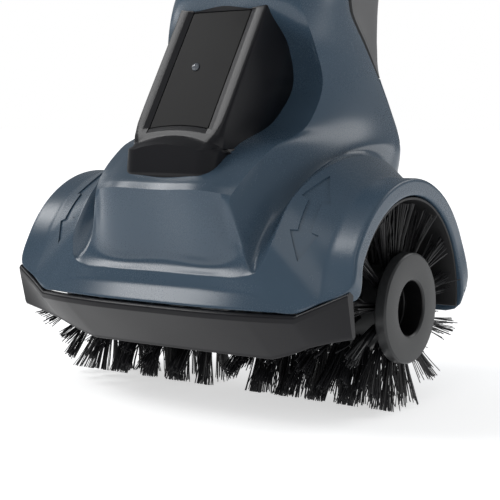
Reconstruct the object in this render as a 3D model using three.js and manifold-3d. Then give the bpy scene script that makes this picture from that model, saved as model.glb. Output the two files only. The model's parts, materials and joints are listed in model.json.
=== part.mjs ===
// Cordless floor scrubber: a roller-brush head under a long telescopic pole with a battery handle.
// Millimetres. The head frame has its origin on the brush axis: +X to the right of the machine,
// +Y towards the person who holds it, +Z up. The pole frame shares that origin and leans back.
import * as THREE from 'three';
import { mergeVertices } from 'three/addons/utils/BufferGeometryUtils.js';
import Module from 'manifold-3d';

const wasm = await Module();
wasm.setup();

// ---------------------------------------------------------------- driving dimensions
const GAP = 0.3;                 // clearance between pieces that touch
const RUN = 0.8;                 // clearance round a piece that turns
const TURN = Math.PI / 180;

const headHalf = 113.6;          // half the width of the hood
const tipR = 57.4;               // bristle tip radius
const mouthR = tipR + 4.2;       // inside radius of the hood
const rimWall = 9.4;             // thickness of the hood's rim at its round ends
const rimR = mouthR + rimWall;
const roundEnd = 16.1;           // width of the round band at each end of the hood
const flareX = headHalf - roundEnd;   // where the sloping shoulder meets the round band
const lean = 19;                 // pole's lean to the rear, degrees
const wall = 3;                  // moulded wall

const drumR = 25;                // drum under the bristles
const discR = 30.5;              // drum's end disc
const discThick = 7;
const discX = headHalf - 0.4;    // outer face of the end disc
const boreR = 15;                // deep recess in the drum end
const boreDepth = 24;
const shaftR = 6;
const caseHalf = 14;             // half thickness of the central gear case
const caseR = 23;
const caseArm = 15;              // half width of the arm that carries the gear case
const bearingWall = 6;
const gearR = 17;
const gearThick = 3.6;
const pinionR = 5;
const gearAt = pinionR + 0.6;    // gear's near face, clear of the pinion
const pinionFrom = 9;            // along the pole axis
const pinionTo = 17;
const screwShank = 3;            // retaining screw in each end of the shaft
const screwDepth = 9;
const screwHead = 9;
const screwHeadThick = 5;

const shieldWall = 1.6;
const shieldFront = 58;          // front edge of the turning shield, degrees forward of the top
const shieldRear = -95;
const shieldTurn = 40;           // how far it turns

const motorR = 26;
const gearboxR = 20;
const gearboxLow = 84;           // along the pole axis from the brush axis
const motorLow = 113;
const motorLength = 72;
const motorShaftR = 2.5;
const motorWall = 2;
const rotorGap = 5;              // between the rotor and the can's outside
const fanHubR = 8;
const fanBlades = 9;
const fanFrom = 7;               // above the motor can
const fanHigh = 10;
const neckEnd = 312;             // end of the moulded neck, along the pole axis
const neckEndR = 28;             // outside radius of the neck's end, round the socket

const lowerTubeR = 16;
const tubeWall = 1.6;
const socketHigh = 42;           // socket above the neck's end
const socketDeep = 50;           // socket inside the neck
const upperTubeR = lowerTubeR - tubeWall - 0.4;
const lowerTubeEnd = 700;
const upperTubeStart = lowerTubeEnd - 180;
const collarR = lowerTubeR + 6;  // quick clamp at the top of the lower tube
const collarDeep = 34;
const collarHigh = 16;
const leverPinR = 2;
const leverPinY = collarR + 6;
const leverPinAt = lowerTubeEnd - 8;
const leverHalf = 5.6;
const leverHubR = 5;
const earThick = 4;
const earSize = 18;
const gripStart = lowerTubeEnd + 310;   // along the pole axis
const gripEnd = gripStart + 205;        // flat face that the battery slides on
const gripHalfX = 19;
const gripHalfY = 22;
const triggerAt = gripStart + 96;
const triggerHalf = 19;
const triggerHalfX = 6;
const lockAt = gripStart + 68;   // lock-off button on the back
const dialAt = gripStart + 30;
const dialR = 9;
const dialHalf = 3.6;
const auxAt = lowerTubeEnd + 150;       // auxiliary handle on the pole
const auxHalf = 74;
const auxReach = 92;
const auxBarR = 8;
const auxRise = 34;              // middle of the loop above its pivot
const auxPivotY = -32;
const auxBandR = 20;
const auxBandHalf = 16;
const auxBoltR = 3.5;
const auxEyeR = 11;
const auxEyeIn = 13.4;
const auxEyeOut = 22;
const knobThick = 18;
const knobHole = 12;
const batteryHalfX = 37;
const batteryDepth = 112;
const batteryHeight = 58;
const batteryWall = 3;
const railHalf = 18;             // half width of the rail that the battery slides on
const railHigh = 6;
const cellR = 9;
const cellPitch = 2 * cellR + 0.6;
const cellLow = 9.6;             // under the cells, above the case's foot
const buttonTravel = 2;

// ---------------------------------------------------------------- geometry helpers
const V = (x, y, z) => new THREE.Vector3(x, y, z);

function closed(geometry) {
  // Shared vertices only, no flat triangles, faces turned outwards.
  const bare = geometry.index ? geometry.clone() : geometry;
  bare.deleteAttribute('normal');
  bare.deleteAttribute('uv');
  const merged = mergeVertices(bare, 1e-3);
  const index = Array.from(merged.index.array);
  const p = merged.attributes.position;
  const kept = [];
  let volume = 0;
  const a = V(0, 0, 0);
  const b = V(0, 0, 0);
  const c = V(0, 0, 0);
  for (let i = 0; i < index.length; i += 3) {
    const [i0, i1, i2] = index.slice(i, i + 3);
    if (i0 === i1 || i1 === i2 || i0 === i2) continue;
    kept.push(i0, i1, i2);
    volume += a.fromBufferAttribute(p, i0).dot(
      b.fromBufferAttribute(p, i1).cross(c.fromBufferAttribute(p, i2)));
  }
  if (volume < 0) {
    for (let i = 0; i < kept.length; i += 3) kept.splice(i, 3, kept[i], kept[i + 2], kept[i + 1]);
  }
  merged.setIndex(kept);
  return merged;
}

function solid(geometry) {
  const g = closed(geometry);
  return new wasm.Manifold(new wasm.Mesh({
    numProp: 3,
    vertProperties: new Float32Array(g.attributes.position.array),
    triVerts: new Uint32Array(g.index.array),
  }));
}

function surface(body) {
  const mesh = body.getMesh();
  const g = new THREE.BufferGeometry();
  g.setAttribute('position', new THREE.BufferAttribute(new Float32Array(mesh.vertProperties), 3));
  g.setIndex(Array.from(mesh.triVerts));
  return g;
}

const cut = (body, ...tools) => surface(tools.reduce((s, t) => s.subtract(solid(t)), solid(body)));
const join = (body, ...more) => surface(more.reduce((s, t) => s.add(solid(t)), solid(body)));
const common = (a, b) => surface(solid(a).intersect(solid(b)));

function skin(rings, apex) {
  // Closed surface through rings with equal numbers of points. An apex closes the last ring.
  const n = rings[0].length;
  const points = rings.flat();
  const index = [];
  for (let r = 0; r + 1 < rings.length; r++) {
    for (let i = 0; i < n; i++) {
      const j = (i + 1) % n;
      const [a, b, c, d] = [r * n + i, r * n + j, (r + 1) * n + j, (r + 1) * n + i];
      index.push(a, b, c, a, c, d);
    }
  }
  const cap = (start, centre, flip) => {
    const k = points.push(centre) - 1;
    for (let i = 0; i < n; i++) {
      const j = (i + 1) % n;
      index.push(...(flip ? [k, start + j, start + i] : [k, start + i, start + j]));
    }
  };
  const middle = (ring) => ring.reduce((s, q) => s.add(q), V(0, 0, 0)).multiplyScalar(1 / n);
  cap(0, middle(rings[0]), true);
  cap((rings.length - 1) * n, apex || middle(rings[rings.length - 1]), false);
  const g = new THREE.BufferGeometry();
  g.setAttribute('position', new THREE.Float32BufferAttribute(points.flatMap((q) => [q.x, q.y, q.z]), 3));
  g.setIndex(index);
  return closed(g);
}

function turned(profile, sides = 24) {
  // Lathe about Z. The profile is [radius, height] and closes on the axis or on itself.
  const g = new THREE.LatheGeometry(profile.map(([r, h]) => new THREE.Vector2(r, h)), sides);
  return closed(g.rotateX(Math.PI / 2));
}

const aboutX = (g) => g.rotateY(Math.PI / 2);

function ring(rIn, rOut, from, to, sides = 24) {
  return turned([[rIn, from], [rOut, from], [rOut, to], [rIn, to], [rIn, from]], sides);
}

function rod(r, from, to, sides = 24) {
  return turned([[0, from], [r, from], [r, to], [0, to]], sides);
}

function plate(outline, from, to) {
  // An outline in the YZ plane, extruded along X.
  const shape = new THREE.Shape(outline.map(([y, z]) => new THREE.Vector2(y, z)));
  const g = new THREE.ExtrudeGeometry(shape, { depth: to - from, bevelEnabled: false, steps: 1 });
  g.applyMatrix4(new THREE.Matrix4().set(0, 0, 1, from, 1, 0, 0, 0, 0, 1, 0, 0, 0, 0, 0, 1));
  return closed(g);
}

function block(x, y, z, at = [0, 0, 0]) {
  return new THREE.BoxGeometry(x, y, z).translate(...at);
}

function rounded(halfX, halfY, z, n = 24, power = 3.4, at = [0, 0]) {
  // A rounded rectangle as a superellipse in the plane at height z.
  return Array.from({ length: n }, (_, i) => {
    const t = (i / n) * 2 * Math.PI;
    const c = Math.cos(t);
    const s = Math.sin(t);
    return V(at[0] + halfX * Math.sign(c) * Math.abs(c) ** (2 / power),
      at[1] + halfY * Math.sign(s) * Math.abs(s) ** (2 / power), z);
  });
}

// ---------------------------------------------------------------- the machine's group
const machine = new THREE.Group();
const head = new THREE.Group();
const pole = new THREE.Group();
pole.rotation.x = -lean * TURN;
head.add(pole);
machine.add(head);

const finishes = {
  housing: { color: 0x45586a, roughness: 0.45, metalness: 0 },
  black: { color: 0x232426, roughness: 0.55, metalness: 0 },
  gloss: { color: 0x101113, roughness: 0.15, metalness: 0 },
  grey: { color: 0x5f6163, roughness: 0.45, metalness: 0 },
  drum: { color: 0x3a3b3d, roughness: 0.4, metalness: 0 },
  bristle: { color: 0x0c0c0e, roughness: 0.5, metalness: 0 },
  steel: { color: 0xb4b6b8, roughness: 0.3, metalness: 1 },
  aluminium: { color: 0xa9adb1, roughness: 0.35, metalness: 1 },
  rubber: { color: 0x1c1c1e, roughness: 0.8, metalness: 0 },
  board: { color: 0x1d5a3a, roughness: 0.5, metalness: 0 },
  lens: { color: 0x8c9297, roughness: 0.1, metalness: 0 },
  copper: { color: 0x9a5a34, roughness: 0.4, metalness: 0.8 },
  accent: { color: 0xb5562a, roughness: 0.45, metalness: 0 },
};

function piece(name, finish, geometry, group = head) {
  const mesh = new THREE.Mesh(geometry, new THREE.MeshStandardMaterial(finishes[finish]));
  mesh.name = name;
  group.add(mesh);
  return mesh;
}

const poleY = Math.sin(lean * TURN);
const poleZ = Math.cos(lean * TURN);
const alongPole = (s, y = 0) => [s * poleY + y * poleZ, s * poleZ - y * poleY];   // to head [y, z]

// ---------------------------------------------------------------- moulded housing
// The skin is a net of rings. Columns run from the end of the neck down to the hood's edge: the
// first at the front centre, creaseColumn on the neck's front crease, the last at the rear centre.
const creaseColumn = 2;
const seamColumn = 14;
const columns = 17;

function neckRing(front, crease, flank, seam, rear) {
  const half = [V(0, ...front), V(crease[0] * 0.72, front[0], front[1]), V(...crease)];
  const curve = new THREE.QuadraticBezierCurve3(V(...crease), V(...flank), V(...seam));
  const steps = seamColumn - creaseColumn;
  for (let i = 1; i <= steps; i++) half.push(curve.getPoint(i / steps));
  half.push(V(seam[0] * 0.72, seam[1] + (rear[0] - seam[1]) * 0.78, (seam[2] + rear[1]) / 2), V(0, ...rear));
  return half;
}

function endRing(s, r) {
  return Array.from({ length: columns }, (_, i) => {
    const t = (i / (columns - 1)) * Math.PI;
    const [y, z] = alongPole(s, -r * Math.cos(t));
    return V(r * Math.sin(t), y, z);
  });
}

// Neck rings from the top down: front, crease, flank pull, seam, rear.
const neckRings = [
  endRing(neckEnd, neckEndR),
  neckRing([25, 231], [30, 34, 230], [46, 70, 227], [37, 98, 221], [128, 214]),
  neckRing([-18, 168], [44.5, -7, 170], [56, 22, 169], [46.5, 46, 167], [118, 169]),
  neckRing([3, 144], [52, -3, 145], [57, 28, 146], [49, 60, 147], [109, 147]),
  neckRing([8, 124], [54, 3, 124], [60, 42, 126], [50, 76, 128], [104, 129]),
  neckRing([-8, 104], [54, -10, 102], [66, 40, 106], [55, 82, 109], [106, 109]),
  neckRing([-50, 87], [52, -48, 86], [74, 20, 92], [61, 84, 88], [107, 90]),
];

const onRound = (x, r, degrees) => V(x, -r * Math.sin(degrees * TURN), r * Math.cos(degrees * TURN));
const seamHigh = 4.4;            // height of the seam between the hood's front and the guard
const seamLine = (x) => -88 + 10.5 * (x / 86.5) ** 3;   // front edge of the hood, seen from above

// Edge that the hollow round the neck ends on, from the front lip round the shoulder to the rear.
const shoulder = [
  V(0, -79.5, 20.5), V(36, -79.5, 20.5), V(54, -79.3, 20.8), V(62.5, -77.5, 24), V(66.5, -74.5, 31),
  V(68.3, -71.5, 38), V(68.8, -65, 47.5), V(69.4, -56, 58.5), V(71.5, -40, 70), V(75, -22, 78),
  V(77.5, 0, 82), V(79.5, 20, 81.5), V(81, 38, 75), V(81, 57, 58), V(78, 76, 30), V(50, 84, 18),
  V(0, 86, 18),
];
// Line where the shoulder's slope ends: the front band's fold, then the hood's round end.
const fold = [
  V(0, -81, 13.5), V(40, -80.8, 13.5), V(60, -80, 13), V(74, -79, 10), V(84.5, -77.6, 6.5),
  V(96.5, -73.6, 11), ...[71, 59, 41.5, 23.5, 6, -13, -35, -59, -84].map((a) => onRound(flareX, rimR, a)),
  V(56, 79, 8), V(0, 80.5, 8),
];
const edge = [
  ...[0, 45, 62, 75, 86.5].map((x) => V(x, seamLine(x), seamHigh)), V(98.5, -73.2, 10.2),
  ...[75.7, 60, 42, 24, 6, -14, -36, -60, -86].map((a) => onRound(headHalf, rimR, a)),
  V(60, 75, 0), V(0, 76, 0),
];
// Nose box under the cover: its top edge, face and foot at the front columns.
const noseRows = [
  [V(0, -78, 68.6), V(34, -78, 68.6), V(47.5, -73.5, 66.6)],
  [V(0, -80.9, 65), V(36, -80.9, 65), V(46.4, -76.4, 63)],
  [V(0, -77, 33), V(40, -77, 33), V(50, -74, 38)],
  [V(0, -75.6, 26.5), V(40, -75.6, 26.5), V(53, -75, 29)],
];
const sweepSteps = [0.3, 0.55, 0.78, 0.92];

function sweepRow(k) {
  // Hollow sweep from the neck's foot out to the shoulder: a curve that first drops, then turns out.
  const foot = neckRings[neckRings.length - 1];
  return Array.from({ length: columns }, (_, i) => {
    if (i <= creaseColumn) return noseRows[k][i];
    const out = shoulder[i];
    const pull = V(foot[i].x * 0.97, out.y * 0.93, out.z * 0.96);
    return new THREE.QuadraticBezierCurve3(foot[i], pull, out).getPoint(sweepSteps[k]);
  });
}

const fullRing = (half) => [...half, ...half.slice(1, -1).reverse().map((q) => V(-q.x, q.y, q.z))];

function inset(half, by) {
  // Each point moved towards the ring's own middle line.
  const first = half[0];
  const last = half[half.length - 1];
  const mid = first.clone().add(last).multiplyScalar(0.5);
  return half.map((q) => {
    const d = q.clone().sub(mid);
    return mid.clone().add(d.multiplyScalar(1 - by / d.length()));
  });
}

function housingSkin() {
  const rows = [...neckRings, ...[0, 1, 2, 3].map(sweepRow), shoulder, fold, edge].map(fullRing);
  return skin(rows, V(0, 0, -6));
}

function neckHollow() {
  const rows = neckRings.map((half) => fullRing(inset(half, wall + 1.5)));
  const mouth = fullRing(endRing(neckEnd + 8, neckEndR - wall - 1.5));
  return skin([mouth, ...rows.slice(1)]);
}

// Line of the seam seen from the side, from the neck's end to the hood.
const seamSide = [[140, 330], [96, 240], [46, 167], [60, 147], [76, 128], [86, 109], [93, 90], [95, 80]];
const coverSplit = 129;          // height where the grey cover ends on the rear shell

function behindSeam(by) {
  return seamSide.map(([y, z]) => [y + by, z]);
}

function buildHousing() {
  const mouth = aboutX(rod(mouthR, -headHalf - 5, headHalf + 5, 48));
  const neckBore = rod(gearboxR + RUN + wall / 2, 50, motorLow + 10).rotateX(-lean * TURN);
  const whole = cut(housingSkin(), mouth, neckHollow(), neckBore);
  const far = 200;
  const behind = plate([...behindSeam(0), [far, 80], [far, 330]], -far, far);
  const upper = plate([...behindSeam(GAP), [far, 80 + GAP], [far, 330]], -far, far);
  const split = [[-far, coverSplit], [far, coverSplit], [far, 400], [-far, 400]];
  const splitLow = split.map(([y, z]) => [y, z === coverSplit ? z + GAP : z]);
  piece('main_housing', 'housing', cut(whole, behind));
  const rearPart = common(whole, upper);
  piece('neck_rear_cover', 'grey', common(rearPart, plate(splitLow, -far, far)));
  piece('rear_housing', 'housing', cut(rearPart, plate(split, -far, far)));
}

// ---------------------------------------------------------------- front guard
function buildGuard() {
  // Section from the seam down to the lower edge, carried from end to end of the hood.
  const low = [[0, -62.5, -24.5], [40, -62, -24.5], [62, -61, -24.5], [76, -62.5, -20], [86.5, -64, -15.5],
    [100, -64.4, -11.5], [headHalf - GAP, -64.8, -8.3]];
  const top = [...[0, 45, 62, 75, 86.5].map((x) => [x, seamLine(x), seamHigh]), [98.5, -73.2, 10.2],
    [headHalf - GAP, -68.8, 17.2]];
  const inner = mouthR + GAP;
  const section = (i, side) => {
    const [x, y, z] = top[i];
    const [, ly, lz] = low[i];
    const zTop = z - 0.5;
    return [V(x, y - 0.4, zTop), V(x, y - 0.9, zTop - 3), V(x, ly - 1, lz + 1), V(x, ly + 1, lz),
      V(x, ly + 6, lz + 1), V(x, -46, lz + 6), V(x, -46, zTop)].map((q) => V(side * q.x, q.y, q.z));
  };
  const stations = [];
  for (let i = low.length - 1; i > 0; i--) stations.push(section(i, -1));
  for (let i = 0; i < low.length; i++) stations.push(section(i, 1));
  const barrel = aboutX(rod(inner, -headHalf - 5, headHalf + 5, 48));
  const under = housingSkin().translate(0, 0, -0.5);
  piece('front_guard', 'black', cut(skin(stations), barrel, under));
}

// ---------------------------------------------------------------- black cover on the nose
const coverHalf = 30.5;
const faceLow = [-66.8, 89.7];                 // foot of the sloping face
const faceTop = [-3.5, 190];
const faceDir = new THREE.Vector2(faceTop[0] - faceLow[0], faceTop[1] - faceLow[1]).normalize();
const facePoint = (d, depth = 0) => [faceLow[0] + faceDir.x * d + faceDir.y * depth,
  faceLow[1] + faceDir.y * d - faceDir.x * depth];
const panelHalf = 20.3;
const panelFrom = 8;
const panelLength = 81;
const panelThick = 1.6;

// Line of the nose and neck under the cover, seen from the side, from the top down.
const coverSeat = [
  [-15.5, 172.5], [-7, 157.5], [2, 144.5], [6, 131.5], [5.8, 121.5], [-0.5, 112], [-14, 104.5],
  [-37.5, 96.2], [-62.5, 82.8], [-74, 76.6],
];
const coverWall = 2.6;

function buildCover() {
  const outer = plate([facePoint(0), facePoint(96), ...coverSeat, [-73, 81]], -coverHalf, coverHalf);
  const room = [facePoint(2, coverWall + 1), facePoint(84, coverWall + 1), [20, 165], [20, 100], [-62, 70]];
  const hollow = plate(room, -coverHalf + coverWall, coverHalf - coverWall);
  const seat = plate([facePoint(panelFrom - GAP, -5), facePoint(panelFrom + panelLength + GAP, -5),
    facePoint(panelFrom + panelLength + GAP, panelThick), facePoint(panelFrom - GAP, panelThick)],
  -panelHalf - GAP, panelHalf + GAP);
  const behind = housingSkin().translate(0, -0.4, 0.35);
  piece('motor_cover', 'black', cut(outer, hollow, seat, behind));
  const panel = plate([facePoint(panelFrom, 0.2), facePoint(panelFrom + panelLength, 0.2),
    facePoint(panelFrom + panelLength, panelThick - GAP), facePoint(panelFrom, panelThick - GAP)],
  -panelHalf, panelHalf);
  piece('cover_panel', 'gloss', panel);
}

function buildCoverInner() {
  // Control board behind the cover's face, and the small lamp in the panel.
  const from = 14;
  const to = 80;
  const near = 8;
  const far = near + 1.8;
  const board = plate([facePoint(from, near), facePoint(to, near), facePoint(to, far), facePoint(from, far)],
    -22, 22);
  piece('control_board', 'board', board);
  const lampR = 2.6;
  const [y, z] = facePoint(58, 0.1);
  const dome = turned([[0, 0], [lampR, 0], [lampR * 0.9, 1], [lampR * 0.5, 1.8], [0, 2.1]], 20);
  const lamp = piece('indicator_lens', 'lens', dome);
  lamp.position.set(4, y, z);
  lamp.rotation.x = Math.PI / 2 - Math.atan2(faceDir.x, faceDir.y);
}

// ---------------------------------------------------------------- brush
function buildBrush() {
  const shaftHalf = discX - boreDepth + GAP;
  const hole = screwShank + GAP;
  piece('brush_shaft', 'steel', aboutX(turned([[0, -shaftHalf + screwDepth], [hole, -shaftHalf + screwDepth],
    [hole, -shaftHalf], [shaftR, -shaftHalf], [shaftR, shaftHalf], [hole, shaftHalf],
    [hole, shaftHalf - screwDepth], [0, shaftHalf - screwDepth]])));
  piece('output_gear', 'steel', aboutX(ring(shaftR + GAP, gearR, gearAt, gearAt + gearThick)));
  const start = caseHalf + RUN;
  const bore = shaftR + GAP;
  const discStart = discX - discThick;
  for (const [side, name] of [[1, 'right'], [-1, 'left']]) {
    const turn = (g) => (side > 0 ? aboutX(g) : aboutX(g).rotateZ(Math.PI));
    piece(`brush_drum_${name}`, 'drum', turn(turned([[bore, start], [drumR, start], [drumR, discStart],
      [discR - 1, discStart], [discR, discStart + 1], [discR, discX - 1], [discR - 1, discX],
      [boreR + 1, discX], [boreR, discX - 1], [boreR, discX - boreDepth], [bore, discX - boreDepth],
      [bore, start]], 32)));
    piece(`bristles_${name}`, 'bristle', turn(turned([[drumR + GAP, start + 4], [tipR, start + 1],
      [tipR, discStart + 4], [discR + 2, discStart - 1.5], [drumR + GAP, discStart - 2.5],
      [drumR + GAP, start + 4]], 32)));
    piece(`retaining_screw_${name}`, 'steel', turn(turned([[0, shaftHalf - screwDepth + 0.5],
      [screwShank, shaftHalf - screwDepth + 0.5], [screwShank, shaftHalf + GAP], [screwHead, shaftHalf + GAP],
      [screwHead, shaftHalf + screwHeadThick], [0, shaftHalf + screwHeadThick]], 24)));
  }
}

// ---------------------------------------------------------------- turning shield round the brush
function buildShield() {
  const rOut = mouthR - RUN;
  const rIn = rOut - shieldWall;
  const end = headHalf - 1.6;
  const steps = 24;
  const arc = (r) => Array.from({ length: steps + 1 }, (_, i) => {
    const a = (shieldFront + (shieldRear - shieldFront) * (i / steps)) * TURN;
    return [-r * Math.sin(a), r * Math.cos(a)];
  });
  const sheet = plate([...arc(rOut), ...arc(rIn).reverse()], -end, end);
  const armAngle = Math.asin((caseArm + 1) / rIn) / TURN;
  const slotFrom = -lean + armAngle + 2;
  const slotTo = -lean - armAngle - shieldTurn - 2;
  const reach = 90;
  const fan = [[0, 0]];
  for (let i = 0; i <= 6; i++) {
    const a = (slotFrom + (slotTo - slotFrom) * (i / 6)) * TURN;
    fan.push([-reach * Math.sin(a), reach * Math.cos(a)]);
  }
  const slot = plate(fan, -caseHalf - 1.4, caseHalf + 1.4);
  piece('brush_shield', 'black', cut(sheet, slot));
}

// ---------------------------------------------------------------- gear case and drive

function buildGearCase() {
  const top = gearboxLow - GAP;
  const half = GAP / 2;
  const seat = shaftR + bearingWall;
  const seatFrom = caseHalf - 4;
  const round = aboutX(rod(caseR, half, caseHalf));
  const arm = block(caseHalf - half, 2 * caseArm, top, [(caseHalf + half) / 2, 0, top / 2]);
  const past = 40;
  const gearRoom = aboutX(rod(gearR + RUN, -10, gearAt + gearThick + GAP));
  const shaftRoom = aboutX(rod(shaftR + GAP, -10, past));
  const seatRoom = aboutX(rod(seat + GAP, seatFrom - 0.2, past));
  const pinionRoom = rod(pinionR + RUN, 0, pinionTo + 7);
  const shaftHole = rod(motorShaftR + 0.9, pinionTo + 3, gearboxLow + 16);
  const shell = cut(join(round, arm), gearRoom, shaftRoom, seatRoom, pinionRoom, shaftHole);
  piece('gear_case_right', 'grey', shell, pole);
  piece('gear_case_left', 'grey', closed(shell.clone().scale(-1, 1, 1)), pole);
  const bearing = () => aboutX(ring(shaftR + GAP, seat, seatFrom, caseHalf - 0.3));
  piece('output_bearing_right', 'steel', bearing());
  piece('output_bearing_left', 'steel', bearing().rotateZ(Math.PI));
}

function buildMotor() {
  const hole = motorShaftR + 1;
  const boxTop = motorLow - GAP;
  const canTop = motorLow + motorLength;
  const floor = motorLow + motorWall + 1;
  piece('drive_pinion', 'steel', ring(motorShaftR + GAP, pinionR, pinionFrom, pinionTo, 24), pole);
  piece('pinion_shaft', 'steel', rod(motorShaftR, pinionFrom, gearboxLow + 6, 20), pole);
  piece('reduction_gearbox', 'grey', turned([[hole, gearboxLow], [gearboxR, gearboxLow], [gearboxR, boxTop],
    [hole, boxTop], [hole, gearboxLow]]), pole);
  piece('motor_can', 'steel', turned([[hole, motorLow], [motorR, motorLow], [motorR, canTop],
    [motorR - motorWall, canTop], [motorR - motorWall, floor], [hole, floor], [hole, motorLow]]), pole);
  piece('motor_end_cap', 'black', ring(hole, motorR, canTop + GAP, canTop + 4), pole);
  piece('motor_shaft', 'steel', rod(motorShaftR, motorLow - 12, canTop + 18, 20), pole);
  const rotor = ring(motorShaftR + GAP, motorR - rotorGap, motorLow + 12, canTop - 12);
  piece('rotor_core', 'copper', rotor, pole);
  const low = canTop + fanFrom;
  const bladeLength = motorR - 10;
  const hub = ring(motorShaftR + GAP, fanHubR, low, low + fanHigh, 24);
  const disc = ring(fanHubR - 2, motorR - 2, low, low + 2);
  const blades = Array.from({ length: fanBlades }, (_, i) =>
    block(1.4, bladeLength, 7, [0, (motorR + 3) / 2, low + 4.9]).rotateZ((i / fanBlades) * 2 * Math.PI));
  piece('cooling_fan', 'black', join(hub, disc, ...blades), pole);
}

// ---------------------------------------------------------------- pole
function buildPole() {
  const bore = lowerTubeR + GAP;
  const plugR = neckEndR - wall - 2;
  const rimOut = neckEndR - 0.5;
  const low = neckEnd - socketDeep;
  const high = neckEnd + socketHigh;
  const socket = turned([[bore, low], [plugR, low], [plugR, neckEnd + GAP], [rimOut, neckEnd + GAP],
    [rimOut, neckEnd + 8], [lowerTubeR + 5, high], [bore, high], [bore, low]]);
  piece('pole_socket', 'black', socket, pole);
  piece('lower_tube', 'aluminium', ring(lowerTubeR - tubeWall, lowerTubeR, neckEnd - 44, lowerTubeEnd), pole);
  const upper = ring(upperTubeR - tubeWall, upperTubeR, upperTubeStart, gripStart + 22);
  piece('upper_tube', 'aluminium', upper, pole);
}

function buildTubeClamp() {
  const top = lowerTubeEnd + collarHigh;
  const low = lowerTubeEnd - collarDeep;
  const bore = lowerTubeR + GAP;
  const mouth = upperTubeR + 0.5;
  const body = turned([[bore, low], [collarR - 2, low], [collarR, low + 4], [collarR, top - 3],
    [collarR - 3, top], [mouth, top], [mouth, lowerTubeEnd + GAP], [bore, lowerTubeEnd + GAP], [bore, low]]);
  const ear = (side) => block(earThick, earSize, earSize, [side * 8, leverPinY - 4, leverPinAt]);
  const room = rod(lowerTubeR + 2, lowerTubeEnd - 60, top + 10);
  const ears = join(cut(ear(1), room), cut(ear(-1), room));
  const drill = aboutX(rod(leverPinR + GAP, -20, 20, 24)).translate(0, leverPinY, leverPinAt);
  const pin = aboutX(rod(leverPinR, -9.5, 9.5, 24));
  piece('clamp_collar', 'black', cut(join(body, ears), drill), pole);
  piece('clamp_pin', 'steel', pin.translate(0, leverPinY, leverPinAt), pole);
  const hub = aboutX(rod(leverHubR, -leverHalf, leverHalf, 24)).translate(0, leverPinY, leverPinAt);
  const outline = [[-3, 0], [5, 0], [4, -34], [-1, -62], [-4, -62], [-1, -34]];
  const paddle = plate(outline.map(([y, z]) => [leverPinY + y, leverPinAt + z]), -leverHalf, leverHalf);
  piece('clamp_lever', 'accent', cut(join(hub, paddle), drill), pole);
}

// Half of the loop's middle line from the eye outwards: across, forward and up from the pivot.
const loopPoints = [
  [auxEyeIn + 4.3, 0, 0], [auxEyeIn + 4.3, -22, 8], [auxEyeIn + 13, -34, 12], [auxHalf * 0.75, -50, 19],
  [auxHalf, -auxReach * 0.76, 26], [auxHalf * 0.92, -auxReach * 0.95, 32],
  [auxHalf * 0.6, -auxReach, auxRise],
];

function buildAuxHandle() {
  const past = 60;
  const atPivot = (g) => g.translate(0, auxPivotY, auxAt);
  const boss = block(26, 30, 22, [0, auxPivotY + 8, auxAt]);
  const band = ring(upperTubeR + GAP, auxBandR, auxAt - auxBandHalf, auxAt + auxBandHalf);
  const tubeRoom = rod(upperTubeR + GAP, auxAt - 40, auxAt + 40);
  const drill = atPivot(aboutX(rod(auxBoltR + GAP, -past, past, 24)));
  piece('aux_clamp', 'black', cut(join(band, cut(boss, tubeRoom)), drill), pole);
  const barY = auxPivotY - auxReach;
  const barZ = auxAt + auxRise;
  const half = loopPoints.map(([x, y, z]) => V(x, auxPivotY + y, auxAt + z));
  const mirrored = half.slice().reverse().map((q) => V(-q.x, q.y, q.z));
  const path = new THREE.CatmullRomCurve3([...half, V(0, barY, barZ), ...mirrored]);
  const sides = 8;
  const section = new THREE.Shape(Array.from({ length: sides }, (_, i) => {
    const t = (i / sides) * 2 * Math.PI;
    return new THREE.Vector2(auxBarR * Math.cos(t), auxBarR * Math.sin(t));
  }));
  const along = { extrudePath: path, steps: 30, bevelEnabled: false };
  const bar = closed(new THREE.ExtrudeGeometry(section, along));
  const eyeRod = () => aboutX(rod(auxEyeR, auxEyeIn, auxEyeOut, 24));
  const eye = (side) => atPivot(eyeRod().rotateZ(side > 0 ? 0 : Math.PI));
  const middle = block(2 * auxEyeIn, past, past, [0, auxPivotY, auxAt]);
  const knobRoom = (from, to) => atPivot(aboutX(rod(16, from, to, 24)));
  const trimmed = cut(bar, middle, knobRoom(auxEyeOut, past), knobRoom(-past, -auxEyeOut));
  piece('aux_handle', 'black', cut(join(trimmed, eye(1), eye(-1)), drill), pole);
  const sleeve = aboutX(ring(auxBarR + 1, auxBarR + 5, -auxHalf * 0.5, auxHalf * 0.5, 24));
  piece('aux_grip', 'rubber', sleeve.translate(0, barY, barZ), pole);
  const end = auxEyeOut + GAP;
  const head = 5;
  const headR = 6.5;
  const bolt = aboutX(turned([[0, -end - head], [headR, -end - head], [headR, -end], [auxBoltR, -end],
    [auxBoltR, end + knobHole], [0, end + knobHole]], 24));
  piece('aux_bolt', 'steel', atPivot(bolt), pole);
  const steps = 48;
  const lobes = Array.from({ length: steps }, (_, i) => {
    const t = (i / steps) * 2 * Math.PI;
    const r = 13.4 + 1.4 * Math.cos(6 * t);
    return [r * Math.cos(t), r * Math.sin(t)];
  });
  const blind = aboutX(rod(auxBoltR + GAP, end - 5, end + knobHole + GAP, 24));
  piece('aux_knob', 'accent', atPivot(cut(plate(lobes, end, end + knobThick), blind)), pole);
}

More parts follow.
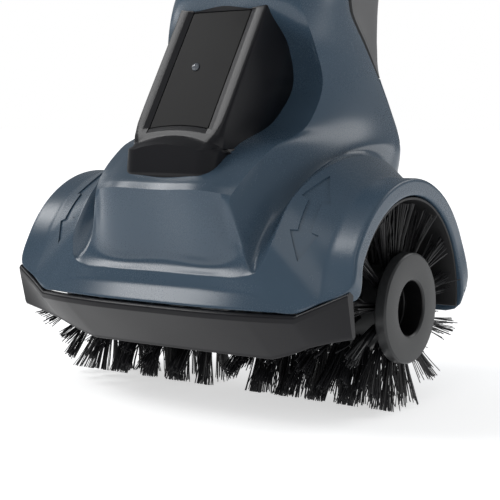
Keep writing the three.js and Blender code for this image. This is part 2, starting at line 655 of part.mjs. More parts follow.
// ---------------------------------------------------------------- main handle
function gripSections(less) {
  const end = gripEnd - (less ? wall + 0.5 : 0);
  const rows = [
    [gripStart + (less ? 26 : 0), 19, 19], [gripStart + (less ? 28 : 12), 22.5, 24], [gripStart + 40, 24, 27],
    [gripStart + 62, gripHalfX + 1, gripHalfY + 1], [triggerAt + 26, gripHalfX, gripHalfY],
    [gripEnd - 58, gripHalfX, gripHalfY], [gripEnd - 34, gripHalfX + 5, gripHalfY + 6],
    [gripEnd - 16, 33, 46], [end, 37, 54],
  ];
  return skin(rows.map(([s, hx, hy]) => rounded(hx - less, hy - less, s, 28, 2.8)));
}

function buildHandle() {
  const deep = 40;
  const hollow = gripSections(wall);
  const tubeRoom = rod(upperTubeR + GAP, gripStart - 5, gripStart + 30);
  const triggerRoom = block(2 * (triggerHalfX + 0.6), deep, 2 * (triggerHalf + RUN),
    [0, gripHalfY, triggerAt]);
  const lockHalfX = 5;
  const lockHalfZ = 6;
  const lockRoom = block(2 * (lockHalfX + 0.6), deep, 2 * (lockHalfZ + 0.6), [0, -gripHalfY, lockAt]);
  const dialRoom = block(2 * (dialHalf + 0.9), deep, 2 * (dialR + 2), [0, -gripHalfY - 4, dialAt]);
  const shell = cut(gripSections(0), hollow, tubeRoom, triggerRoom, lockRoom, dialRoom);
  const side = 200;
  const keep = block(side, 300, 400, [(side + GAP) / 2, 0, gripEnd - 100]);
  piece('handle_shell_right', 'housing', common(shell, keep), pole);
  piece('handle_shell_left', 'housing', common(shell, keep.clone().translate(-side - GAP, 0, 0)), pole);
  const sleeve = (more, low, high) =>
    skin([low, high].map((s) => rounded(gripHalfX + more, gripHalfY + more, s, 28, 2.8)));
  const sleeveBore = sleeve(GAP, triggerAt + 20, gripEnd - 50);
  piece('grip_sleeve', 'rubber', cut(sleeve(2.2, triggerAt + 27, gripEnd - 59), sleeveBore), pole);
  const low = triggerAt - triggerHalf;
  const high = triggerAt + triggerHalf;
  const root = 12;
  const outline = [[root, low], [gripHalfY + 4, low + 1], [gripHalfY + 7, triggerAt - 8],
    [gripHalfY + 5.5, triggerAt + 6], [gripHalfY + 6.5, high - 1], [root, high]];
  const trigger = plate(outline, -triggerHalfX, triggerHalfX);
  piece('trigger', 'accent', trigger, pole);
  piece('trigger_switch', 'black', block(14, 12, 26, [0, 0, triggerAt]), pole);
  const lock = skin([-gripHalfY - 3.5, -gripHalfY - 2.5, -12].map((y, i) => {
    const less = i ? 0 : 1;
    return rounded(lockHalfX - less, lockHalfZ - less, 0, 20, 4).map((q) => V(q.x, y, lockAt + q.y));
  }));
  piece('lock_off_button', 'accent', lock, pole);
  const dial = aboutX(rod(dialR, -dialHalf, dialHalf)).translate(0, -gripHalfY + 1, dialAt);
  piece('speed_dial', 'black', dial, pole);
}

// ---------------------------------------------------------------- battery
function buildBattery() {
  const low = gripEnd + 2;
  const caseTop = low + batteryHeight - 10;
  const halfY = batteryDepth / 2;
  const railAt = gripEnd + GAP + railHigh / 2;
  piece('battery_rail', 'black', block(2 * railHalf, batteryDepth - 30, railHigh, [0, -4, railAt]), pole);
  const body = skin([low, low + 3, caseTop].map((s, i) =>
    rounded(batteryHalfX - (i ? 0 : 2), halfY - (i ? 0 : 2), s, 32, 6)));
  const channelWide = 2 * (railHalf + 0.6);
  const channel = block(channelWide, batteryDepth, railHigh + 0.5 + GAP, [0, -14.4, railAt]);
  const roomHigh = 60;
  const room = block(2 * (batteryHalfX - batteryWall), batteryDepth - 8, roomHigh,
    [0, 0, low + 3 * batteryWall + roomHigh / 2]);
  const buttonAt = low + 26;
  const buttonHalfX = 10;
  const buttonHalfZ = 7;
  const pocket = block(2 * (buttonHalfX + 0.6), 8, 2 * (buttonHalfZ + 0.6), [0, halfY + 1, buttonAt]);
  piece('battery_case', 'black', cut(body, channel, room, pocket), pole);
  piece('battery_lid', 'housing', skin([caseTop + GAP, caseTop + 7, caseTop + 10].map((s, i) =>
    rounded(batteryHalfX - (i > 1 ? 3 : 0), halfY - (i > 1 ? 3 : 0), s, 32, 6))), pole);
  const cells = [];
  for (const layer of [0, 1]) {
    for (const i of [-2, -1, 0, 1, 2]) {
      const at = low + cellLow + cellR + layer * cellPitch;
      cells.push(aboutX(rod(cellR, -32, 32, 12)).translate(0, i * cellPitch, at));
    }
  }
  const strip = (side) =>
    block(1, 4.6 * cellPitch, 1.7 * cellPitch, [side * 31.8, 0, low + cellLow + cellR + cellPitch / 2]);
  piece('battery_cells', 'copper', join(...cells, strip(1), strip(-1)), pole);
  const buttonLow = halfY - 3 + buttonTravel + GAP;
  const button = skin([buttonLow, buttonLow + 3, buttonLow + 4].map((y, i) => {
    const less = i > 1 ? 1 : 0;
    return rounded(buttonHalfX - less, buttonHalfZ - less, 0, 20, 4).map((q) => V(q.x, y, buttonAt + q.y));
  }));
  piece('battery_release_button', 'accent', button, pole);
}

buildHousing();
buildGuard();
buildCover();
buildCoverInner();
buildBrush();
buildShield();
buildGearCase();
buildMotor();
buildPole();
buildTubeClamp();
buildAuxHandle();
buildHandle();
buildBattery();

// The machine stands on its bristle tips, centred over its own plan.
head.updateMatrixWorld(true);
const extent = new THREE.Box3().setFromObject(head, true);
head.position.set(0, -(extent.min.y + extent.max.y) / 2, -extent.min.z);

export default machine;
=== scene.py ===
"""Looks of a cordless roller-brush floor scrubber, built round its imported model.

Shapes are worked out in millimetres in the head frame: origin on the brush axis, +X to the
machine's right, +Y towards the person who holds it, +Z up. The pole frame shares that origin and
leans back. Each finished mesh is moved to the row frame in metres.
"""
import json
import math

import bmesh
import bpy
import numpy as np
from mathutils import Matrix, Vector


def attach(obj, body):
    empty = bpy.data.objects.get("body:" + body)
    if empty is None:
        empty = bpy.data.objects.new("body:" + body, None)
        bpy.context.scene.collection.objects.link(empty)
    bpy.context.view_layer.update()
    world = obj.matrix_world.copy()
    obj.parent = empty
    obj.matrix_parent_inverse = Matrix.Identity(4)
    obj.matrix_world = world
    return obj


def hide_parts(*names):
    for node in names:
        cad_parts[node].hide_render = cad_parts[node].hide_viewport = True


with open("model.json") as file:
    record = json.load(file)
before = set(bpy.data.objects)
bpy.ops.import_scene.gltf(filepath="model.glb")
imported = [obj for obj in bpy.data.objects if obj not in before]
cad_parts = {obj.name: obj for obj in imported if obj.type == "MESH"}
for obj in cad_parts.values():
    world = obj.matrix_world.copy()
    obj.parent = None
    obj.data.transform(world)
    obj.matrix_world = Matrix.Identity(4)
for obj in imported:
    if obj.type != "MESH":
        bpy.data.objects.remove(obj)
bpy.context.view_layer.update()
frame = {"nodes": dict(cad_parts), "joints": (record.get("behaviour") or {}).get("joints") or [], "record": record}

JOINTS = {joint["name"]: joint for joint in frame["joints"]}
AXLE = np.array(JOINTS["brush_spin"]["pos_m"])        # brush axis at the middle of the machine
POLE = np.array(JOINTS["tube_slide"]["axis"])         # direction of the pole
MM = 0.001
SLIVER = 1e-6          # metres below which points are one
SHARED_EDGE = 2e-5     # metres below which two patches' edge points are one
SEED = 7
SHARP_ANGLE = 32.0     # degrees between faces past which an edge is drawn sharp

# Sizes of the head, in millimetres
HEAD_HALF = 113.6
RIM_R = 71.0
MOUTH_R = 61.6
FLARE_X = 97.5
DISC_X = 113.2
DISC_R = 30.5
DRUM_R = 25.0
BORE_R = 15.0
BORE_DEPTH = 24.0
TIP_R = 57.4
GUARD_GAP = 0.9


# ---------------------------------------------------------------- places
def from_pole(points):
    """Pole frame to head frame: x stays, y and the distance s along the pole turn by the lean."""
    points = np.asarray(points, float)
    s_part, c_part = POLE[1], POLE[2]
    x, y, s = points[..., 0], points[..., 1], points[..., 2]
    return np.stack([x, s * s_part + y * c_part, s * c_part - y * s_part], -1)


def to_row(points):
    """Head frame in millimetres to the row frame in metres."""
    return np.asarray(points, float) * MM + AXLE


# ---------------------------------------------------------------- meshes
def new_object(name, points, faces):
    """A mesh object in the scene. Its points are in metres in the row frame."""
    mesh = bpy.data.meshes.new(name)
    mesh.from_pydata(np.asarray(points).reshape(-1, 3), [], [tuple(face) for face in faces])
    made = bpy.data.objects.new(name, mesh)
    bpy.context.scene.collection.objects.link(made)
    return made


def new_piece(name, points, faces, body, slot, node=None, look=None, smooth_angle=SHARP_ANGLE):
    """A piece that rides on a body and takes the look of its slot, or another one that is named.

    The points are in millimetres in the head frame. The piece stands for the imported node, if any.
    """
    piece = new_object(name, to_row(points), faces)
    mesh = piece.data
    mesh.validate()
    mesh.materials.append(FINISHES[look or slot])
    mesh.shade_smooth()
    if smooth_angle < 180:
        mesh.set_sharp_from_angle(angle=math.radians(smooth_angle))
    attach(piece, body)
    if node:
        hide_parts(node)
    return piece


def grid_faces(rows, cols, wrap_cols=False, wrap_rows=False):
    """Quads of a grid of rows by cols points, each wound the same way."""
    r = np.arange(rows if wrap_rows else rows - 1)
    c = np.arange(cols if wrap_cols else cols - 1)
    r, c = np.meshgrid(r, c, indexing="ij")
    r2, c2 = (r + 1) % rows, (c + 1) % cols
    return np.stack([r * cols + c, r * cols + c2, r2 * cols + c2, r2 * cols + c], -1).reshape(-1, 4)


def slopes(points, breaks):
    """Unit-length slopes into and out of each point along axis 0.

    Inside a run the slope is the mean of the two spans' slopes, each weighted by the other's
    length. At a break or an end it is the slope of the parabola through the span.
    """
    step = np.diff(points, axis=0)
    length = np.maximum(np.linalg.norm(step, axis=-1, keepdims=True), 1e-6)
    unit = step / length
    mean = (unit[:-1] * length[1:] + unit[1:] * length[:-1]) / (length[1:] + length[:-1])
    into = np.concatenate([unit[:1], mean, unit[-1:]])
    out = into.copy()
    ends = sorted(set(breaks) | {0, len(points) - 1})
    for i in ends:
        if i > 0:
            before = unit[i - 1] if i - 1 in ends else out[i - 1]
            into[i] = 1.5 * unit[i - 1] - 0.5 * before
        if i < len(points) - 1:
            after = unit[i] if i + 1 in ends else into[i + 1]
            out[i] = 1.5 * unit[i] - 0.5 * after
    return into, out, length


def through(points, steps, breaks=()):
    """Smooth points along axis 0: a cubic on each span from its end slopes, with steps per span."""
    into, out, length = slopes(points, breaks)
    parts = []
    for i, count in enumerate(steps):
        f = (np.arange(count) / count).reshape((-1,) + (1,) * (points.ndim - 1))
        leaving = (2 * f**3 - 3 * f**2 + 1) * points[i] + (f**3 - 2 * f**2 + f) * length[i] * out[i]
        coming = (3 * f**2 - 2 * f**3) * points[i + 1] + (f**3 - f**2) * length[i] * into[i + 1]
        parts.append(leaving + coming)
    parts.append(points[-1:])
    return np.concatenate(parts)


def lathe(profile, sides=96):
    """Grid of a closed profile [radius, distance along Z] turned about Z."""
    profile = np.asarray(profile, float)
    turn = np.linspace(0, 2 * np.pi, sides, endpoint=False)
    r, h = profile[:, :1], profile[:, 1:]
    return np.stack([r * np.cos(turn), r * np.sin(turn), np.repeat(h, sides, 1)], -1)


def rounded_profile(points, radius=0.8, steps=3):
    """A closed outline with each corner replaced by a short parabola that starts a radius away."""
    points = np.asarray(points, float)
    out = []
    for i, corner in enumerate(points):
        before, after = points[i - 1], points[(i + 1) % len(points)]
        reach_in = min(radius, 0.45 * np.linalg.norm(before - corner))
        reach_out = min(radius, 0.45 * np.linalg.norm(after - corner))
        a = corner + (before - corner) / max(np.linalg.norm(before - corner), 1e-9) * reach_in
        b = corner + (after - corner) / max(np.linalg.norm(after - corner), 1e-9) * reach_out
        for t in np.linspace(0, 1, steps + 1):
            out.append((1 - t)**2 * a + 2 * t * (1 - t) * corner + t**2 * b)
    return np.array(out)


def merged(mesh, distance, *, facing_out=False, no_slivers=False):
    """Merges points closer than a distance in metres, and may turn faces out or drop slivers."""
    work = bmesh.new()
    work.from_mesh(mesh)
    bmesh.ops.remove_doubles(work, verts=work.verts, dist=distance)
    if facing_out:
        bmesh.ops.recalc_face_normals(work, faces=work.faces)
    if no_slivers:
        bmesh.ops.dissolve_degenerate(work, edges=work.edges, dist=SLIVER)
    work.to_mesh(mesh)
    work.free()


def face_out(piece):
    """Turns every face of a closed mesh outwards."""
    merged(piece.data, SLIVER, facing_out=True)


def cap_ends(points, faces, cols, rows, middles=None):
    """Closes the first and last rings of a wrapped grid with a fan to each ring's middle."""
    points = points.reshape(-1, 3)
    if middles is None:
        middles = [points[:cols].mean(0), points[(rows - 1) * cols:].mean(0)]
    n, i = len(points), np.arange(cols)
    j = (i + 1) % cols
    base = (rows - 1) * cols
    low = np.stack([np.full(cols, n), j, i], -1)
    high = np.stack([np.full(cols, n + 1), base + i, base + j], -1)
    return np.concatenate([points, middles]), [*faces.tolist(), *low.tolist(), *high.tolist()]


def turned_piece(name, profile, place, body, slot, node=None, sides=96, radius=0.8, on_axis=False):
    """A turned solid. The profile closes on itself, or runs from axis to axis when on_axis."""
    outline = rounded_profile(profile, radius)
    if on_axis:
        outline = outline[outline[:, 0] > 1e-6]
    ring = lathe(outline, sides)
    if on_axis:
        middles = [(0, 0, profile[0][1]), (0, 0, profile[-1][1])]
        faces = grid_faces(len(ring), sides, wrap_cols=True)
        points, faces = cap_ends(ring, faces, sides, len(ring), middles)
    else:
        points = ring.reshape(-1, 3)
        faces = grid_faces(len(ring), sides, wrap_cols=True, wrap_rows=True)
    piece = new_piece(name, place(points), faces, body, slot, node)
    face_out(piece)
    return piece


def about_x(points, side=1):
    """Turned about Z to turned about X, to the right or the left."""
    points = np.asarray(points, float)
    return np.stack([side * points[..., 2], points[..., 1], side * -points[..., 0]], -1)


# ---------------------------------------------------------------- finishes
class Value:
    """A number carried by a node socket. Arithmetic written on it adds Math nodes."""

    def __init__(self, finish, socket):
        self.finish, self.socket = finish, socket

    def math(self, operation, *others):
        """A Math node on this value and the others."""
        node = self.finish.node("ShaderNodeMath", {"operation": operation}, self, *others)
        return Value(self.finish, node.outputs[0])

    def __add__(self, other):
        return self.math("ADD", other)

    def __sub__(self, other):
        return self.math("SUBTRACT", other)

    def __mul__(self, other):
        return self.math("MULTIPLY", other)

    def __pow__(self, other):
        return self.math("POWER", other)

    def __rsub__(self, first):
        node = self.finish.node("ShaderNodeMath", {"operation": "SUBTRACT"}, first, self)
        return Value(self.finish, node.outputs[0])

    __radd__, __rmul__ = __add__, __mul__

    def clamp(self, low=0.0, high=1.0):
        """Held between two numbers."""
        return self.math("MAXIMUM", low).math("MINIMUM", high)

    def wave(self):
        """Its sine."""
        return self.math("SINE")


GRAIN_SCALE = 1500    # grains of a moulded surface to a metre
MOTTLE = 0.06         # share by which its colour varies


def to_linear(red, green, blue):
    """Screen colour from 0 to 255 as the linear colour that a shader takes."""
    share = np.array([red, green, blue]) / 255
    low, high = share / 12.92, ((share + 0.055) / 1.055)**2.4
    return tuple(np.where(share <= 0.04045, low, high))


class Finish:
    """A Principled material whose pattern is built up from node values."""

    def __init__(self, name, colour, roughness, metallic=0.0, **constants):
        self.material = bpy.data.materials.new(name)
        self.material.use_nodes = True
        self.tree = self.material.node_tree
        self.shader = self.tree.nodes["Principled BSDF"]
        self.colour = (*colour, 1)
        self.shader.inputs["Base Color"].default_value = self.colour
        self.shader.inputs["Roughness"].default_value = roughness
        self.shader.inputs["Metallic"].default_value = metallic
        for socket, value in constants.items():
            self.shader.inputs[socket.replace("_", " ")].default_value = value
        self.place = self.node("ShaderNodeTexCoord", {}).outputs["Object"]

    def plug(self, socket, value):
        """Links a value or another node's output to a socket, or sets a plain number or colour."""
        value = value.socket if isinstance(value, Value) else value
        if isinstance(value, bpy.types.NodeSocket):
            self.tree.links.new(value, socket)
        else:
            socket.default_value = value

    def node(self, kind, settings, *inputs, **named):
        """Adds a node: its settings first, then inputs in order or by name, each a value or a link."""
        node = self.tree.nodes.new(kind)
        for setting, value in settings.items():
            setattr(node, setting, value)
        for key, value in [*enumerate(inputs), *named.items()]:
            self.plug(node.inputs[key.replace("_", " ") if isinstance(key, str) else key], value)
        return node

    def stretched(self, x, y, z, lean=0.0):
        """Object place turned about X by the lean, then scaled along each axis."""
        point, none = {"vector_type": "POINT"}, (0, 0, 0)
        turned = self.node("ShaderNodeMapping", point, self.place, none, (lean, 0, 0))
        return self.node("ShaderNodeMapping", point, turned.outputs[0], none, none, (x, y, z)).outputs[0]

    def parts(self, vector):
        """The x, y and z of a vector, each as a value."""
        node = self.node("ShaderNodeSeparateXYZ", {}, vector)
        return [Value(self, out) for out in node.outputs]

    def noise(self, scale, detail=2.0, vector=None, roughness=0.5):
        """Soft noise from 0 to 1, with so many features a metre."""
        node = self.node("ShaderNodeTexNoise", {}, Vector=vector or self.place, Scale=scale,
                         Detail=detail, Roughness=roughness)
        return Value(self, node.outputs["Fac"])

    def cells(self, scale):
        """Distance from the middle of the nearest of many cells."""
        node = self.node("ShaderNodeTexVoronoi", {}, Vector=self.place, Scale=scale)
        return Value(self, node.outputs["Distance"])

    def mix(self, factor, a, b):
        """Colour a turning into colour b with the factor."""
        node = self.node("ShaderNodeMix", {"data_type": "RGBA"}, factor)
        for socket, colour in ((node.inputs[6], a), (node.inputs[7], b)):
            self.plug(socket, (*colour[:3], 1) if isinstance(colour, tuple) else colour)
        return node.outputs[2]

    def bump(self, height, distance, strength=1.0, under=None):
        """Height in shares of a distance in metres, over an optional normal beneath."""
        node = self.node("ShaderNodeBump", {}, Strength=strength, Distance=distance, Height=height)
        if under is not None:
            self.plug(node.inputs["Normal"], under)
        return node.outputs["Normal"]

    def finish(self, colour, roughness=None, normal=None, glow=None):
        """Links the pattern to the shader and gives the finished material."""
        for name, value in (("Base Color", colour), ("Roughness", roughness), ("Normal", normal),
                            ("Emission Color", glow)):
            if value is not None:
                self.plug(self.shader.inputs[name], value)
        return self.material


def shade(colour, amount):
    """A colour made darker or lighter by an amount."""
    return tuple(min(1.0, channel * amount) for channel in colour[:3])


def moulded(name, colour, roughness, grain=0.00005, wear=0.0, **constants):
    """Moulded plastic: spark-eroded grain, faint flow marks, uneven gloss and a little rub."""
    f = Finish(name, colour, roughness, **constants)
    flow = f.noise(9, 3, f.stretched(1, 0.6, 2.2))
    fine = f.noise(GRAIN_SCALE, 2)
    pits = f.cells(GRAIN_SCALE * 0.6)
    rub = (f.noise(55, 4, roughness=0.65) - 0.6).clamp() * 3.5
    tone = f.mix((flow * 0.8 + fine * 0.2).clamp(), shade(colour, 1 - MOTTLE), shade(colour, 1 + MOTTLE))
    if wear:
        tone = f.mix((rub * wear).clamp(), tone, shade(colour, 1.5))
    gloss = (flow - 0.5) * 0.10 + (fine - 0.5) * 0.05 + rub * 0.05 + roughness
    return f.finish(colour=tone, roughness=gloss.clamp(0.05, 1),
                    normal=f.bump(fine * 0.6 + pits * 0.4, grain, 0.55, f.bump(flow, 0.0004, 0.25)))


def glossy_panel():
    """Piano-black panel with fine polishing haze and a few smears."""
    colour = to_linear(12, 12, 13)
    f = Finish("gloss_black_panel", colour, 0.16, Specular_IOR_Level=0.03)
    smear = (f.noise(38, 3, f.stretched(1, 0.35, 1)) - 0.52).clamp() * 1.6
    haze = f.noise(2400, 1)
    return f.finish(colour=f.mix(smear * 0.3, colour, to_linear(30, 30, 33)),
                    roughness=(smear * 0.16 + haze * 0.02 + 0.18).clamp(0.05, 0.6),
                    normal=f.bump(f.noise(26, 1), 0.0002, 0.12))


def smoked_lens():
    """Smoked clear plastic with a few fine specks."""
    colour = to_linear(84, 88, 94)
    f = Finish("indicator_lens_clear", colour, 0.08, Coat_Weight=0.5, IOR=1.49)
    speck = f.noise(3000, 1)
    return f.finish(colour=f.mix(speck * 0.5, colour, to_linear(120, 124, 130)),
                    roughness=speck * 0.05 + 0.06, normal=f.bump(speck, 0.00002, 0.3))


def from_axle(f):
    """Distance of a place from the brush axis, in metres: the root of y squared plus z squared."""
    x, y, z = f.parts(f.place)
    y, z = y - float(AXLE[1]), z - float(AXLE[2])
    return (y * y + z * z)**0.5


def drum_plastic():
    """Glass-filled black plastic of the drum, with turning marks, and painted shade that makes it almost black
    inside its bore.
    """
    colour = to_linear(42, 43, 44)
    f = Finish("drum_black_plastic", colour, 0.34, Specular_IOR_Level=0.35)
    radius = from_axle(f)
    rings = (radius * 9000).wave() * 0.5 + 0.5
    # Mask that is 0 inside the bore and 1 outside it. Inside, the colour turns almost black as painted shade.
    unshaded_outside_bore = ((radius - (BORE_R + 0.3) * MM) * 4000).clamp()
    fine, dust = f.noise(1800, 2), (f.noise(420, 3) - 0.62).clamp() * 4
    plain = f.mix((dust * 0.5 + fine * 0.3).clamp(), colour, to_linear(66, 67, 68))
    return f.finish(colour=f.mix(unshaded_outside_bore, to_linear(6, 6, 7), plain),
                    roughness=(fine * 0.16 + rings * 0.04 + 0.26).clamp(0.1, 1),
                    normal=f.bump(rings * 0.35 + fine * 0.65, 0.00006, 0.5))


def nylon_bristle():
    """Black nylon filament: glossy, paler towards the tips, and with small differences between strands."""
    colour = to_linear(9, 9, 11)
    f = Finish("bristle_black_nylon", colour, 0.34)
    reach = ((from_axle(f) - 0.046) * 85).clamp()
    strands = f.noise(520, 2)
    return f.finish(colour=f.mix((reach * 0.35 + strands * 0.25).clamp(), colour, to_linear(46, 46, 50)),
                    roughness=(strands * 0.3 + reach * 0.1 + 0.2).clamp(0.1, 1),
                    normal=f.bump(strands, 0.00005, 0.4))


def machined(name, colour, roughness, along, lean=0.0):
    """Machined metal: fine lines across the direction that the tool ran in, with faint stains."""
    f = Finish(name, colour, roughness, 1.0)
    lines = f.noise(1, 3, f.stretched(*along, lean), 0.7)
    stain = f.noise(24, 3)
    return f.finish(colour=f.mix(stain, shade(colour, 0.86), shade(colour, 1.08)),
                    roughness=(lines * 0.22 + stain * 0.08 + roughness - 0.12).clamp(0.05, 1),
                    normal=f.bump(lines, 0.00003, 0.5))


def ribbed_rubber(lean):
    """Grip rubber: close round ribs along the pole's direction over a fine grain."""
    colour = to_linear(34, 34, 36)
    f = Finish("grip_rubber", colour, 0.78)
    x, y, along = f.parts(f.stretched(1, 1, 1, lean))
    diamonds = ((along * 1400 + x * 1100).wave() * (along * 1400 - x * 1100).wave()).clamp()
    fine, dust = f.noise(1600, 2), (f.noise(80, 4) - 0.6).clamp() * 3
    return f.finish(colour=f.mix((dust * 0.6).clamp(), colour, to_linear(72, 71, 70)),
                    roughness=(fine * 0.15 + 0.72 - diamonds * 0.1).clamp(0.1, 1),
                    normal=f.bump(diamonds + fine * 0.25, 0.0004, 0.6))


def circuit_board():
    """Green board with paler tracks in a net over a fine weave."""
    colour = to_linear(26, 92, 58)
    f = Finish("circuit_board_green", colour, 0.42, Coat_Weight=0.3)
    x, y, z = f.parts(f.place)
    tracks = (((x * 2600).wave() * (z * 1900).wave()) - 0.45).clamp() * 8
    weave = f.noise(1400, 2)
    return f.finish(colour=f.mix((tracks + weave * 0.2).clamp(), colour, to_linear(70, 140, 92)),
                    roughness=weave * 0.2 + 0.32, normal=f.bump(tracks.clamp(), 0.00008, 0.6))


def wound_copper(lean):
    """Enamelled winding: turns close together along the pole's direction, with painted shade in the grooves
    between them, and darker in patches.
    """
    colour = to_linear(176, 104, 64)
    f = Finish("wound_copper", colour, 0.35, 0.85)
    x, y, along = f.parts(f.stretched(1, 1, 1, lean))
    turns = (along * 5200).wave() * 0.5 + 0.5
    tarnish = f.noise(60, 3)
    # The colour darkens in the grooves between turns: painted shade. The tarnish noise varies it in patches.
    return f.finish(colour=f.mix(turns * 0.5 + tarnish * 0.3, shade(colour, 0.45), colour),
                    roughness=(tarnish * 0.25 + 0.24).clamp(0.1, 1), normal=f.bump(turns, 0.0002, 0.7))


LEAN = math.atan2(POLE[1], POLE[2])
FINISHES = {
    "housing": moulded("housing_slate_blue", to_linear(62, 80, 96), 0.27, grain=0.00003, wear=0.08),
    "black_shell": moulded("shell_black", to_linear(26, 26, 29), 0.3, wear=0.08, Specular_IOR_Level=0.2),
    "liner": moulded("liner_black", to_linear(22, 22, 24), 0.5, grain=0.00008),
    "grey_shell": moulded("shell_warm_grey", to_linear(92, 92, 93), 0.46, wear=0.08),
    "gloss_panel": glossy_panel(),
    "lens": smoked_lens(),
    "drum": drum_plastic(),
    "bristle": nylon_bristle(),
    "steel": machined("machined_steel", to_linear(186, 188, 190), 0.32, (900, 60, 60)),
    "aluminium": machined("anodised_aluminium", to_linear(150, 154, 160), 0.38, (1500, 1500, 30),
                          LEAN),
    "rubber": ribbed_rubber(LEAN),
    "board": circuit_board(),
    "copper": wound_copper(LEAN),
    "accent": moulded("accent_rust_orange", to_linear(186, 92, 50), 0.42),
}


def finish_cad_nodes():
    """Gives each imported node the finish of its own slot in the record."""
    slot_of = {row["node"]: row["material_slot"] for row in frame["record"]["subparts"]}
    for name, node in frame["nodes"].items():
        node.data.materials.clear()
        node.data.materials.append(FINISHES[slot_of[name]])


# ---------------------------------------------------------------- shared makers
def loft_piece(name, rings, body, slot, node=None, look=None, smooth_angle=SHARP_ANGLE):
    """A closed skin over rings with equal numbers of points, its ends closed."""
    rings = np.asarray(rings, float)
    rows, cols = rings.shape[:2]
    points, faces = cap_ends(rings, grid_faces(rows, cols, wrap_cols=True), cols, rows)
    piece = new_piece(name, points, faces, body, slot, node, look, smooth_angle)
    face_out(piece)
    return piece


def super_ring(half_x, half_y, power, sides=72):
    """Rounded rectangle: each coordinate is a power of the cosine or sine of the turn."""
    turn = np.linspace(0, 2 * np.pi, sides, endpoint=False)
    c, s = np.cos(turn), np.sin(turn)
    return np.stack([half_x * np.sign(c) * np.abs(c)**(2 / power),
                     half_y * np.sign(s) * np.abs(s)**(2 / power)], -1)


def pole_loft(name, stations, power, body, slot, node, sides):
    """Rounded rectangles carried along the pole. A station is a distance, half width and half depth."""
    rings = [np.column_stack([super_ring(half_x, half_y, power, sides), np.full(sides, s)])
             for s, half_x, half_y in stations]
    return loft_piece(name, from_pole(np.stack(rings)), body, slot, node)


def prism(name, outline, low, high, body, slot, node=None, edge=0.8, segments=3):
    """An outline [y, distance along the pole] from x = low to x = high, every edge rounded."""
    outline = np.asarray(outline, float)
    n = len(outline)
    ends = [np.column_stack([np.full(n, x), outline]) for x in (low, high)]
    faces = [tuple(range(n)), tuple(range(2 * n - 1, n - 1, -1))]
    faces += [(i, (i + 1) % n, n + (i + 1) % n, n + i) for i in range(n)]
    piece = new_piece(name, from_pole(np.concatenate(ends)), faces, body, slot, node, smooth_angle=30)
    face_out(piece)
    bevel(piece, edge, segments)
    return piece


def bevel(piece, width, segments=3, angle=30):
    """Rounds every edge sharper than an angle in degrees. The width is in millimetres."""
    modifier = piece.modifiers.new("edges", "BEVEL")
    modifier.width = width * MM
    modifier.segments = segments
    modifier.limit_method = "ANGLE"
    modifier.angle_limit = math.radians(angle)
    modifier.harden_normals = False


def thicken(piece, wall):
    """Gives an open shell a wall in millimetres that grows inwards from its skin."""
    solid = piece.modifiers.new("wall", "SOLIDIFY")
    solid.thickness, solid.offset, solid.use_even_offset = wall * MM, -1, False


def settle(piece, smooth_angle=SHARP_ANGLE):
    """Turns a piece's modifiers into mesh."""
    graph = bpy.context.evaluated_depsgraph_get()
    mesh = bpy.data.meshes.new_from_object(piece.evaluated_get(graph))
    piece.modifiers.clear()
    piece.data = mesh
    mesh.shade_smooth()
    mesh.set_sharp_from_angle(angle=math.radians(smooth_angle))


def carve(piece, *tools):
    """Cuts closed tool meshes, given as points and faces, out of a piece."""
    for points, faces in tools:
        tool = new_object("tool", to_row(points), faces)
        face_out(tool)
        modifier = piece.modifiers.new("cut", "BOOLEAN")
        modifier.object = tool
        modifier.solver = "EXACT"
        settle(piece)
        mesh = piece.data
        while len(mesh.materials) > 1:
            mesh.materials.pop()
        mesh.polygons.foreach_set("material_index", np.zeros(len(mesh.polygons), np.int32))
        bpy.data.objects.remove(tool)


def box_tool(half_x, low_y, high_y, middle, half_length):
    """Points and faces of a box in the pole frame, as wide to the left as to the right."""
    corners = np.array([(x, y, s) for x in (-half_x, half_x) for y in (low_y, high_y)
                        for s in (middle - half_length, middle + half_length)], float)
    faces = [(0, 1, 3, 2), (4, 6, 7, 5), (0, 4, 5, 1), (2, 3, 7, 6), (0, 2, 6, 4), (1, 5, 7, 3)]
    return from_pole(corners), faces


def ring_at_x(x, radius, turn):
    """Ring square to X: each point lies its radius away from the axis, at its turn."""
    return np.stack([np.full(len(turn), x), radius * np.cos(turn), radius * np.sin(turn)], -1)


def push_button(name, half_x, half_length, at, rows, body, node, sides):
    """A rounded button square to the pole. A row is y and how much smaller its ring is."""
    rings = []
    for y, less in rows:
        ring = super_ring(half_x - less, half_length - less, 4, sides)
        rings.append(np.stack([ring[:, 0], np.full(sides, y), at + ring[:, 1]], -1))
    loft_piece(name, from_pole(rings), body, "accent", node)


def swept(path, radius, sides=20):
    """Rings of a round bar along a smooth path. Each ring's frame is carried on from the last."""
    path = np.asarray(path, float)
    tangent = np.gradient(path, axis=0)
    tangent /= np.linalg.norm(tangent, axis=1, keepdims=True)
    side = np.cross(tangent[0], (0.3, 0.2, 0.9))
    frames = []
    for t in tangent:
        side = side - t * (side @ t)
        side /= np.linalg.norm(side)
        frames.append((side, np.cross(t, side)))
    frames = np.array(frames)
    turn = np.linspace(0, 2 * np.pi, sides, endpoint=False)
    radius = np.broadcast_to(np.asarray(radius, float), (len(path),))[:, None, None]
    return path[:, None] + radius * (np.cos(turn)[None, :, None] * frames[:, None, 0]
                                     + np.sin(turn)[None, :, None] * frames[:, None, 1])


# ---------------------------------------------------------------- moulded housing
CREASE = 2            # column on the front edge of the neck
SEAM = 14             # column where the front and rear shells meet
COLUMNS = 17          # from the front centre to the rear centre
SPAN_STEPS = 8        # fine columns for each of the net's columns
BLEND_COLUMNS = 4     # fine columns over which the nose's edges soften towards its middle
NECK_END = 312.0
NECK_END_R = 28.0
HOUSING_WALL = 2.4
HOUSING_INSIDE = (0, 20, 60)
SEAM_GAP = 0.35       # each shell's edge stands back from the seam by this
CORNER_R = 8.0        # rounding of the hood's lower rear corner
RIM_END = 86.0        # degrees behind the top where the hood's rim ends


